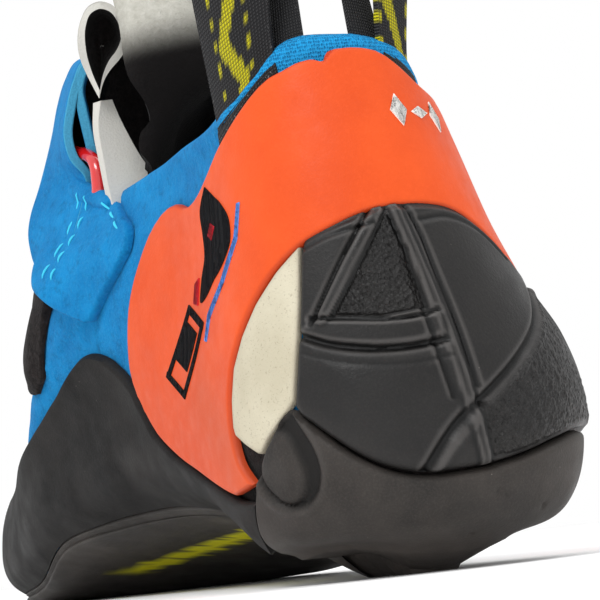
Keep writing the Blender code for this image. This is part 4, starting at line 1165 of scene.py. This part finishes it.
def refined(rows, count, wide):
    """A coarse grid of points made fine both ways on smooth curves."""
    rows = np.asarray(rows, float)
    fine = curve(np.arange(rows.shape[0]), rows, np.linspace(0, rows.shape[0] - 1, count))
    fine = np.swapaxes(fine, 0, 1)
    fine = curve(np.arange(fine.shape[0]), fine, np.linspace(0, fine.shape[0] - 1, wide))
    return np.swapaxes(fine, 0, 1)


def ribbon(name, grid, thickness, mats, inside=0, wall=0, skin=None, marks=None, bevel=0.0004):
    """A strip with thickness, from the grid of its face that looks out."""
    marks = dict(marks or {})
    if skin is None:
        gone = np.linalg.norm(np.diff(grid[:, 0], axis=0), axis=1)
        gone = np.concatenate([[0.0], np.cumsum(gone)])
        wide = np.linalg.norm(grid[0, -1] - grid[0, 0])
        skin = np.stack([np.broadcast_to(np.linspace(0, wide, grid.shape[1])[None, :], grid.shape[:2]),
                         np.broadcast_to(gone[:, None], grid.shape[:2]),
                         np.zeros(grid.shape[:2])], -1)
    marks["skin"] = skin
    piece = closed(name, grid, thicken(grid, thickness), mats, marks, inside=inside, wall=wall)
    if bevel:
        soften = piece.modifiers.new("soft_edges", "BEVEL")
        soften.width = bevel
        soften.segments = 2
        soften.angle_limit = 1.0
    return piece


TONGUE_RUNS = (0.150, 0.144, 0.138, 0.131, 0.124, 0.117, 0.110)
TONGUE_PLACES = np.array([0.76, 0.82, 0.88, 0.94, 1.0])
TONGUE_CLEAR = 0.0017
TONGUE_FLAP = (
    (0.089, -0.0075, 0.0215, 0.097, 0.1075), (0.086, -0.0085, 0.0250, 0.107, 0.1150),
    (0.087, -0.0110, 0.0270, 0.118, 0.123), (0.091, -0.0075, 0.0280, 0.127, 0.130),
)
FLAP_BEND = 0.004


def build_tongue():
    """Cream tongue rising behind the strap, with a curled medial edge, a bound side and a dark sheet of
    painted shade in the throat.
    """
    rows = []
    for away in TONGUE_RUNS:
        half = []
        for sign in (-1.0, 1.0):
            run = np.full(len(TONGUE_PLACES), sign * away)
            half.append(shell_point(run, TONGUE_PLACES, -UPPER_WALL - TONGUE_CLEAR))
        crown = 0.5 * (half[0][-1] + half[1][-1])
        rows.append(np.concatenate([half[0][:-1], [crown], half[1][:-1][::-1]]))
    share = np.linspace(-1.0, 1.0, rows[0].shape[0])
    for along, lateral, medial, edge, middle in TONGUE_FLAP:
        medial = min(medial, FLAP_MEDIAL)
        side = 0.5 * (lateral + medial) + 0.5 * (medial - lateral) * np.sin(share * np.pi / 2.0)
        level = middle - (middle - edge) * np.abs(share) ** 2
        x = along - FLAP_BEND * (1.0 - share ** 2) - ORIGIN_SHIFT
        rows.append(np.stack([x, side, level], -1))
    grid = refined(rows, 120, 76)
    back = thicken(grid, 0.0030)
    # Darker towards the bottom, down into the shoe: painted shade on the tongue.
    dark = 1.0 - smooth((back[..., 2] + 0.14 * back[..., 1] - 0.1135) / 0.0100)
    piece = closed("tongue_cloth", grid, back, [tongue_cream], {"dark": dark})
    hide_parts("tongue")

    x = np.full(4, TONGUE_SIDE_AT)
    rows = []
    for left, left_up, right, right_up in TONGUE_SIDE:
        share = np.linspace(0.0, 1.0, 4)
        rows.append(np.stack([x + 0.0015 * share, left + (right - left) * share,
                              left_up + (right_up - left_up) * share], -1) * (1.0, 0.001, 0.001))
    piece = ribbon("tongue_side", refined(rows, 60, 20), 0.0026, [edge_cream], bevel=0.0009)

    # A dark sheet in the throat: painted shade where the throat lies in shadow.
    share = np.linspace(0.0, 1.0, 5)
    rows = []
    for left, left_up, right, right_up in SHADOW_SHEET:
        bulge = 0.004 * np.sin(np.pi * share)
        rows.append(np.stack([SHADOW_SHEET_AT + bulge, (left + (right - left) * share) * 0.001,
                              (left_up + (right_up - left_up) * share) * 0.001], -1))
    piece = ribbon("tongue_shadow_sheet", refined(rows, 60, 40), 0.0012, [lining_black], bevel=0.0)


# The curled edge of the tongue: side and height of its hollow in millimetres, and its way back.
CURL = ((32.0, 105.4), (33.2, 109.8), (34.0, 114.1), (33.8, 118.9), (32.4, 121.8), (30.2, 122.9),
        (28.0, 122.3), (26.5, 120.0), (26.2, 116.8), (27.5, 114.0), (29.5, 111.6), (31.0, 108.8))
CURL_AT = 0.0565
CURL_SIDEWAYS = 0.24
CURL_RISE = 0.28
# The bound side of the tongue: left and right edge from the top down, in millimetres.
TONGUE_SIDE_AT = 0.0615
FLAP_MEDIAL = 0.0240
# A sheet of black lining in the throat beside the tongue, standing in for the shade there: both edges from
# the top down, in millimetres.
SHADOW_SHEET_AT = 0.085
SHADOW_SHEET = ((22.6, 120.5, 9.6, 121.0), (23.9, 114.5, 7.8, 114.3), (25.2, 110.3, 7.1, 109.7),
             (25.6, 105.7, 6.4, 105.0), (25.2, 98.8, 6.0, 98.0), (23.4, 91.9, 6.7, 91.2),
             (18.5, 86.5, 8.4, 85.0))
TONGUE_SIDE = ((32.6, 104.0, 29.6, 104.0), (33.2, 98.0, 27.2, 98.4), (32.6, 91.0, 24.3, 92.2),
                 (31.6, 82.0, 19.6, 83.6), (30.0, 76.0, 19.0, 76.0))


def build_curl():
    """The rolled medial edge of the tongue, a soft tube that opens towards the heel."""
    ring = bent(np.array(CURL + CURL[:1]), 73)[:-1]
    centre = ring.mean(axis=0)
    rows = []
    for depth, size in ((0.0, 1.0), (0.002, 1.0), (0.005, 0.94), (0.008, 0.78), (0.0100, 0.40),
                        (0.0105, 0.0)):
        flat = centre + (ring - centre) * size
        x = CURL_AT + depth + 0.0006 * np.sin(np.linspace(0, 12.56, len(flat)))
        rows.append(np.stack([x, flat[:, 0] * 0.001 - CURL_SIDEWAYS * depth,
                              flat[:, 1] * 0.001 + CURL_RISE * depth], -1))
    grid = refined(rows, 30, len(ring))
    way = grid - grid.mean(axis=1, keepdims=True)
    way[..., 0] = 0.0
    way /= np.linalg.norm(way, axis=-1, keepdims=True) + 1e-12
    outside = grid + way * 0.0016
    outside[0, :, 0] += 0.0004
    grid, outside = np.swapaxes(grid, 0, 1), np.swapaxes(outside, 0, 1)
    closed("tongue_curl", outside, grid, [edge_cream, lining_black], around=True, inside=1)


STRAP_FOOT = ((0.42, 0.0), (0.50, 0.0012), (0.60, 0.0026), (0.70, 0.0045), (0.77, 0.0060))
STRAP_BACK, STRAP_FRONT = 0.104, 0.128
STRAP = 0.0022
# Outer face of the strap from the lateral side over to its free end, in millimetres: side and
# height of the edge to the toe, then of the edge to the heel.
STRAP_EDGES = (
    (-18.5, 99.5, -18.5, 99.5), (-7.0, 115.0, -7.0, 115.0), (8.5, 121.2, 9.0, 121.2),
    (21.0, 122.6, 23.5, 120.0), (28.0, 121.6, 31.4, 116.2), (31.4, 117.0, 34.3, 111.4),
    (33.7, 111.2, 36.3, 105.5), (35.6, 104.4, 37.5, 99.6), (37.8, 97.8, 36.6, 94.2),
    (40.0, 92.0, 33.6, 89.6), (42.2, 86.6, 35.2, 84.0), (43.2, 82.0, 37.0, 79.2),
    (42.9, 77.4, 38.8, 73.4), (42.0, 73.6, 39.0, 69.0),
)
STRAP_EDGE_AT = (0.0925, 0.0715)
# Inner layer from the ring up: side and height of its outer face in millimetres.
RETURN_PATH = ((29.8, 92.5), (30.4, 95.5), (30.9, 99.0), (31.7, 105.0), (32.0, 110.0),
               (29.5, 114.6), (23.5, 117.4), (18.0, 118.0))
# Dark padding between the two layers: height, then both sides, in millimetres.
PADDING = ((121.0, 27.0, 22.5), (115.5, 31.0, 22.0), (110.0, 32.6, 21.5), (104.0, 33.6, 21.5),
           (98.0, 34.2, 21.5), (91.5, 33.6, 21.5), (84.0, 32.0, 21.5))
RING_CENTRE = (0.0780, 0.0338, 0.0922)
RING_HALF = (0.0118, 0.0050)
RING_SQUARE = 0.55
RING_TUBE = 0.0015
RING_TURN = 0.16
RING_TILT = 0.30
# Tab on the medial quarter: its edges to the heel and to the toe, run in mm and place.
TAB_NEAR = ((112.5, 0.545), (107.0, 0.585), (100.5, 0.633), (96.6, 0.675), (96.4, 0.705),
            (101.0, 0.738), (105.5, 0.766), (107.8, 0.783))
TAB_FAR = ((113.8, 0.545), (120.0, 0.585), (126.0, 0.630), (130.6, 0.668), (131.4, 0.695),
           (130.4, 0.730), (126.5, 0.772), (121.8, 0.806))


def patch(name, near, far, count, wide, lift, mats, **options):
    """A shell piece on the last between two edge lines. lift works out millimetres."""
    near, far = bent(metric(near), count), bent(metric(far), count)
    share = np.linspace(0.0, 1.0, wide)[None, :, None]
    flat = near[:, None, :] * (1.0 - share) + far[:, None, :] * share
    outline = np.concatenate([near, far[::-1]])
    edge = np.maximum(inwards(flat[..., 0], flat[..., 1], outline), 0.0)
    flat, edge = np.swapaxes(flat, 0, 1), edge.T
    rise = lift(flat[..., 0], flat[..., 1], edge)
    return on_last(name, flat[..., 0] * 0.001, place_of(flat[..., 1]), rise * 0.001, 0.0002, mats,
                   {"edge": 1.0 - smooth(edge / 0.8), "dust_and_shade": 0.0 * edge}, **options)


def tab_face(across, height, edge):
    """Height of the tab's face in millimetres: a fold along its top, out to the strap."""
    top = np.stack([metric(TAB_NEAR)[-1], metric(TAB_FAR)[-1]])
    from_top = away_from(across, height, top)
    fold = 1.5 * np.sqrt(np.clip(1.0 - ((from_top - 1.5) / 2.0) ** 2, 0.0, 1.0))
    near = away_from(across, height, bent(metric(TAB_NEAR), 60))
    far = away_from(across, height, bent(metric(TAB_FAR), 60))
    out = np.interp(place_of(height), (0.545, 0.585, 0.64, 0.70, 0.80),
                    (1.0, 2.4, 4.6, 6.0, 7.0)) * (near / (near + far + 0.01)) ** 1.2
    return rounded(edge, 1.9, 0.8, 0.5) + fold + out + 0.2 * wobble(across, height, 12.0, 31)


def build_straps():
    """The strap over the instep, its inner layer and padding, the ring and its tab."""
    along = np.linspace(STRAP_BACK, STRAP_FRONT, 4)
    rows = []
    for place, lean in STRAP_FOOT:
        run = X_HEEL - HEEL_RUN + lean - along
        rows.append(shell_point(run, np.full_like(run, place), 0.0006 + STRAP))
    share = np.linspace(0.0, 1.0, 4)
    for far, far_up, near, near_up in STRAP_EDGES:
        x = STRAP_EDGE_AT[1] + (STRAP_EDGE_AT[0] - STRAP_EDGE_AT[1]) * share
        rows.append(np.stack([x, (near + (far - near) * share) * 0.001,
                              (near_up + (far_up - near_up) * share) * 0.001], -1))
    piece = ribbon("strap_suede", refined(rows, 190, 34), STRAP,
                   [suede_blue, lining_black, edge_blue], 1, 2)
    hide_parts("closure_strap")

    rows = []
    for side, height in RETURN_PATH:
        x = 0.0712 + 0.018 * share
        rows.append(np.stack([x, side * 0.001 - 0.0045 * share, height * 0.001 + 0.004 * share],
                             -1))
    piece = ribbon("strap_return_suede", refined(rows, 60, 20), STRAP,
                   [suede_blue, lining_black, edge_blue], 0, 2)
    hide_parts("strap_return")

    rows = []
    for height, left, right in PADDING:
        rows.append(np.stack([0.086 + 0.004 * share, (left + (right - left) * share) * 0.001,
                              np.full_like(share, height * 0.001)], -1))
    piece = ribbon("strap_padding", refined(rows, 40, 24), 0.0012, [lining_black], bevel=0.0)

    turn = np.linspace(0.0, 2.0 * np.pi, 96, endpoint=False)
    tube = np.linspace(0.0, 2.0 * np.pi, 25)
    flat = np.sign(np.cos(turn)) * np.abs(np.cos(turn)) ** RING_SQUARE * RING_HALF[0]
    rise = np.sign(np.sin(turn)) * np.abs(np.sin(turn)) ** RING_SQUARE * RING_HALF[1]
    grid = np.zeros((len(turn), len(tube), 3))
    for j, angle in enumerate(tube):
        ahead = flat + np.cos(turn) * RING_TUBE * np.cos(angle)
        grid[:, j, 0] = RING_CENTRE[0] + ahead * np.cos(RING_TURN)
        grid[:, j, 1] = RING_CENTRE[1] + ahead * np.sin(RING_TURN) + RING_TUBE * np.sin(angle)
        grid[:, j, 2] = (RING_CENTRE[2] + rise + np.sin(turn) * RING_TUBE * np.cos(angle)
                         + RING_TILT * ahead)
    piece = make("ring_gloss", grid.reshape(-1, 3), grid_faces(*grid.shape[:2], around=True),
                 [ring_red])
    weld = piece.modifiers.new("weld", "WELD")
    weld.merge_threshold = 0.00001
    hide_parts("strap_ring")

    piece = patch("tab_suede", TAB_NEAR, TAB_FAR, 110, 90, tab_face, [suede_blue])
    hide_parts("ring_tab")


# A black piece low beside the strap's end, and seams and stitches on the quarter.
SIDE_NEAR = ((133.5, 0.765), (134.0, 0.700), (133.0, 0.650), (134.5, 0.600), (137.5, 0.560), (139.5, 0.520))
SIDE_FAR = ((146.0, 0.765), (150.0, 0.690), (151.0, 0.640), (151.0, 0.590), (149.0, 0.550), (145.0, 0.515))
STITCH_ROWS = (
    ((118.6, 0.786), (119.8, 0.740), (122.6, 0.695), (125.6, 0.655)),
    ((115.4, 0.780), (116.6, 0.735), (119.4, 0.690), (122.0, 0.645)),
    ((108.6, 0.764), (103.4, 0.735), (99.4, 0.703)),
)
SEAMS = (((113.5, 0.545), (110.5, 0.480), (107.8, 0.410)),
         ((140.0, 0.515), (131.0, 0.530), (121.0, 0.545), (113.5, 0.548)))


def build_side():
    """Black piece low on the medial side, where the strap's base comes round."""
    def lift(across, height, edge):
        out = np.interp(place_of(height), (0.51, 0.60, 0.69, 0.77), (0.0, 0.2, 1.8, 6.2))
        return rounded(edge, 1.2, 0.8, 0.4) + 1.6 * smooth(edge / 6.0) + out

    piece = patch("side_black", SIDE_NEAR, SIDE_FAR, 60, 40, lift, [lining_black])


def build_stitches():
    """Cyan stitches in rows on the tab."""
    points, faces = [], []
    for line in STITCH_ROWS:
        line = metric(line)
        length = np.linalg.norm(np.diff(line, axis=0), axis=1).sum()
        path = bent(line, int(length / 2.9))
        for start, end in zip(path[:-1], path[1:]):
            stops = start + (end - start) * np.array([0.10, 0.30, 0.50, 0.70, 0.90])[:, None]
            face = tab_face(stops[:, 0], stops[:, 1], np.full(5, 2.0))
            base = shell_point(stops[:, 0] * 0.001, place_of(stops[:, 1]),
                               (face + np.array([-0.25, 0.15, 0.25, 0.15, -0.25])) * 0.001)
            way = base[-1] - base[0]
            way /= np.linalg.norm(way)
            out = normal(stops[:1, 0] * 0.001, place_of(stops[:1, 1]))[0]
            side = np.cross(way, out)
            first = len(points)
            for centre, radius in zip(base, (0.08, 0.26, 0.30, 0.26, 0.08)):
                for angle in np.linspace(0.0, 2.0 * np.pi, 7)[:-1]:
                    points.append(centre + (side * np.cos(angle) + out * np.sin(angle))
                                  * radius * 0.001)
            for ring in range(4):
                for k in range(6):
                    a, b = first + ring * 6 + k, first + ring * 6 + (k + 1) % 6
                    faces.append((a, b, b + 6, a + 6))
    piece = make("tab_stitches", np.array(points), np.array(faces), [thread_cyan])


LOOP_MEDIAL = (0.0218, 0.0482)
LOOP_LATERAL = (-0.0260, -0.0105)
LOOP_TOP = 0.138
LOOP_REACH = 0.0045
LOOP_CLEAR = 0.0006
LOOP_LEAN = 0.009
LOOP_ROWS, LOOP_COLUMNS = 240, 57
LOOP_TUCK = 0.05
WEBBING = 0.0014


def woven(side, gone):
    """Where the loop's plain zigzag is yellow, in stepped threads."""
    side, gone = np.broadcast_arrays(np.round(side / 0.45) * 0.45, np.round(gone / 0.55) * 0.55)
    swing = 4.4 * (np.abs((gone / 8.5) % 2.0 - 1.0) - 0.5)
    line = np.abs(side - swing) < 1.5
    dots = (np.abs(np.abs(side) - 4.4) < 0.5) & ((gone % 4.25) < 1.7)
    return (line | dots) * ((gone > 7.0) & (gone < 70.0)) * 1.0


def build_loops():
    """Two webbing pull loops on the collar, with a plain woven yellow pattern."""
    for name, edges in (("pull_loop_medial", LOOP_MEDIAL), ("pull_loop_lateral", LOOP_LATERAL)):
        run = np.linspace(edges[0], edges[1], 9)
        top = topline(run)
        band = bent(metric(BAND_OUTER), 300)
        band = band[band[:, 1] > 70.0]
        band = band[np.argsort(band[:, 0])]
        low = place_of(np.interp(run * 1000.0, band[:, 0], band[:, 1]) - 1.2)
        out_low = shell_point(run, low, 0.0001)
        out_mid = shell_point(run, 0.5 * (low + top), LOOP_CLEAR)
        out_top = shell_point(run, top, LOOP_CLEAR + 0.0004)
        back = run - LOOP_LEAN * np.sign(run)
        in_top = shell_point(back, topline(back), -UPPER_WALL - LOOP_CLEAR)
        in_low = shell_point(back, topline(back) - LOOP_TUCK, -UPPER_WALL - LOOP_CLEAR)
        away = normal(run, top) * np.array([1.0, 1.0, 0.0])
        away /= np.linalg.norm(away, axis=1, keepdims=True)
        rows = [out_low, out_mid, out_top]
        mid = 0.5 * (out_top + in_top)
        for share in np.linspace(0.1, 0.9, 7):
            angle = np.pi * share
            point = mid + away * LOOP_REACH * np.cos(angle) * (1.0 + np.sin(angle))
            point[:, 2] = mid[:, 2] + (LOOP_TOP - mid[:, 2]) * np.sin(angle) ** 0.6
            rows.append(point)
        rows += [in_top, in_low]
        grid = refined(rows, LOOP_ROWS, LOOP_COLUMNS)
        face = thicken(grid, -WEBBING * 0.9)
        gone = np.linalg.norm(np.diff(face[:, LOOP_COLUMNS // 2], axis=0), axis=1)
        gone = np.concatenate([[0.0], np.cumsum(gone)])[:, None] * 1000.0
        wide = np.linalg.norm(face[100, -1] - face[100, 0]) * 1000.0
        side = np.linspace(-0.5, 0.5, LOOP_COLUMNS)[None, :] * wide
        sewn = 1.0 - smooth((gone - 2.6) / 1.2)
        hem = 1.0 - smooth((0.5 * wide - np.abs(side) - 0.5) / 0.8)
        marks = {"edge": np.maximum(sewn, 0.5 * hem), "yellow": woven(side, gone)}
        piece = ribbon(name + "_webbing", face, WEBBING * 0.9, [loop_black], marks=marks)
        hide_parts(name)


# Plain shapes printed on the band: a long leaf, slanted bars in a frame, and strokes.
MOTIF_BLACK = (
    ((53.5, 0.742), (49.0, 0.722), (44.5, 0.700), (41.5, 0.672), (41.5, 0.640), (45.0, 0.612),
     (50.5, 0.590), (56.0, 0.566), (59.5, 0.560), (58.5, 0.596), (56.0, 0.630), (56.5, 0.668),
     (57.5, 0.704)),
    ((57.6, 0.528), (68.0, 0.560), (68.8, 0.548), (58.6, 0.516)),
    ((68.0, 0.560), (81.2, 0.428), (79.8, 0.424), (66.6, 0.556)),
    ((81.2, 0.428), (70.8, 0.396), (70.0, 0.408), (80.4, 0.440)),
    ((70.8, 0.396), (57.6, 0.528), (59.0, 0.532), (72.2, 0.400)),
    ((62.6, 0.512), (69.4, 0.533), (75.8, 0.468), (69.0, 0.447)),
)
MOTIF_BLUE = (
    ((36.5, 0.690), (37.6, 0.690), (39.8, 0.640), (46.5, 0.585), (54.5, 0.540), (57.0, 0.500),
     (55.8, 0.498), (53.0, 0.535), (45.2, 0.580), (38.6, 0.636)),
)
MOTIF_RED = (
    ((60.5, 0.600), (63.5, 0.592), (64.5, 0.560), (61.5, 0.556)),
    ((48.6, 0.672), (51.0, 0.680), (53.0, 0.662), (50.8, 0.652)),
)
MOTIF_WHITE = (
    ((-4.0, 0.792), (-6.4, 0.818), (-8.8, 0.792), (-6.4, 0.766)),
    ((-10.2, 0.790), (-13.4, 0.800), (-16.6, 0.790), (-13.4, 0.780)),
    ((-18.0, 0.788), (-20.4, 0.812), (-22.8, 0.786), (-20.4, 0.762)),
)


def on_band(across, height):
    """Height of the band's face away from its edges."""
    return band_lift(across, height, np.full_like(across, 3.0))


edge_blue = plain("edge_blue", (0.05, 0.26, 0.42), 0.9, grain=0.0002, light=1.5, spec=0.15)
tongue_cream = lining("tongue_cream", (0.42, 0.41, 0.36), (0.55, 0.54, 0.49), 700.0, True)

build_upper()
build_cup()
build_panel()
build_band()
build_rand()
build_sole()
build_tongue()
build_curl()
build_straps()
build_side()
build_stitches()
build_loops()
print_on("band_marks_black", MOTIF_BLACK, on_band, mark_black, soft=True)
print_on("band_marks_blue", MOTIF_BLUE, on_band, mark_blue)
print_on("band_marks_red", MOTIF_RED, on_band, mark_red, 0.30)
print_on("band_marks_white", MOTIF_WHITE, on_band, mark_white)

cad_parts["insole"].data.materials.clear()
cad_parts["insole"].data.materials.append(lining_black)

# Floor, light and camera.

floor = bpy.data.meshes.new("floor")
floor.from_pydata([(-3, -3, 0), (3, -3, 0), (3, 3, 0), (-3, 3, 0)], [], [(0, 1, 2, 3)])
floor_object = bpy.data.objects.new("floor", floor)
bpy.context.scene.collection.objects.link(floor_object)
pale, tree, shader = fresh("floor_pale")
shader.inputs["Base Color"].default_value = (0.98, 0.98, 0.98, 1.0)
shader.inputs["Roughness"].default_value = 0.9
floor.materials.append(pale)

world = bpy.data.worlds.new("studio")
world.use_nodes = True
world.node_tree.nodes["Background"].inputs["Color"].default_value = (1.0, 1.0, 1.0, 1.0)
world.node_tree.nodes["Background"].inputs["Strength"].default_value = 1.0
bpy.context.scene.world = world
bpy.context.scene.view_settings.view_transform = "Standard"


def area_light(name, position, target, size, power):
    """A soft lamp that looks at a target."""
    data = bpy.data.lights.new(name, "AREA")
    data.shape = "DISK"
    data.size = size
    data.energy = power
    lamp = bpy.data.objects.new(name, data)
    lamp.location = position
    lamp.rotation_euler = (Vector(target) - Vector(position)).to_track_quat("-Z", "Y").to_euler()
    bpy.context.scene.collection.objects.link(lamp)


area_light("key", (-0.45, 0.55, 0.75), (0.03, 0.0, 0.05), 0.40, 4.5)
area_light("top", (-0.10, -0.25, 0.90), (0.03, 0.0, 0.05), 0.6, 2.0)

CAMERA_AT = (-0.3418, 0.1253, 0.006)
CAMERA_YAW, CAMERA_PITCH, CAMERA_ROLL = -0.31967, 0.12452, -0.11162
CAMERA_LENS = 120.0
SENSOR = 36.0

ahead = Vector((np.cos(CAMERA_PITCH) * np.cos(CAMERA_YAW),
                np.cos(CAMERA_PITCH) * np.sin(CAMERA_YAW), np.sin(CAMERA_PITCH)))
right = ahead.cross(Vector((0.0, 0.0, 1.0))).normalized()
above = right.cross(ahead)
across_axis = right * np.cos(CAMERA_ROLL) + above * np.sin(CAMERA_ROLL)
up_axis = above * np.cos(CAMERA_ROLL) - right * np.sin(CAMERA_ROLL)
lens = bpy.data.cameras.new("camera")
lens.lens = CAMERA_LENS
lens.sensor_width = SENSOR
lens.clip_start = 0.01
camera = bpy.data.objects.new("camera", lens)
camera.matrix_world = Matrix.Translation(CAMERA_AT) @ Matrix(
    (across_axis, up_axis, -ahead)).transposed().to_4x4()
bpy.context.scene.collection.objects.link(camera)
bpy.context.scene.camera = camera
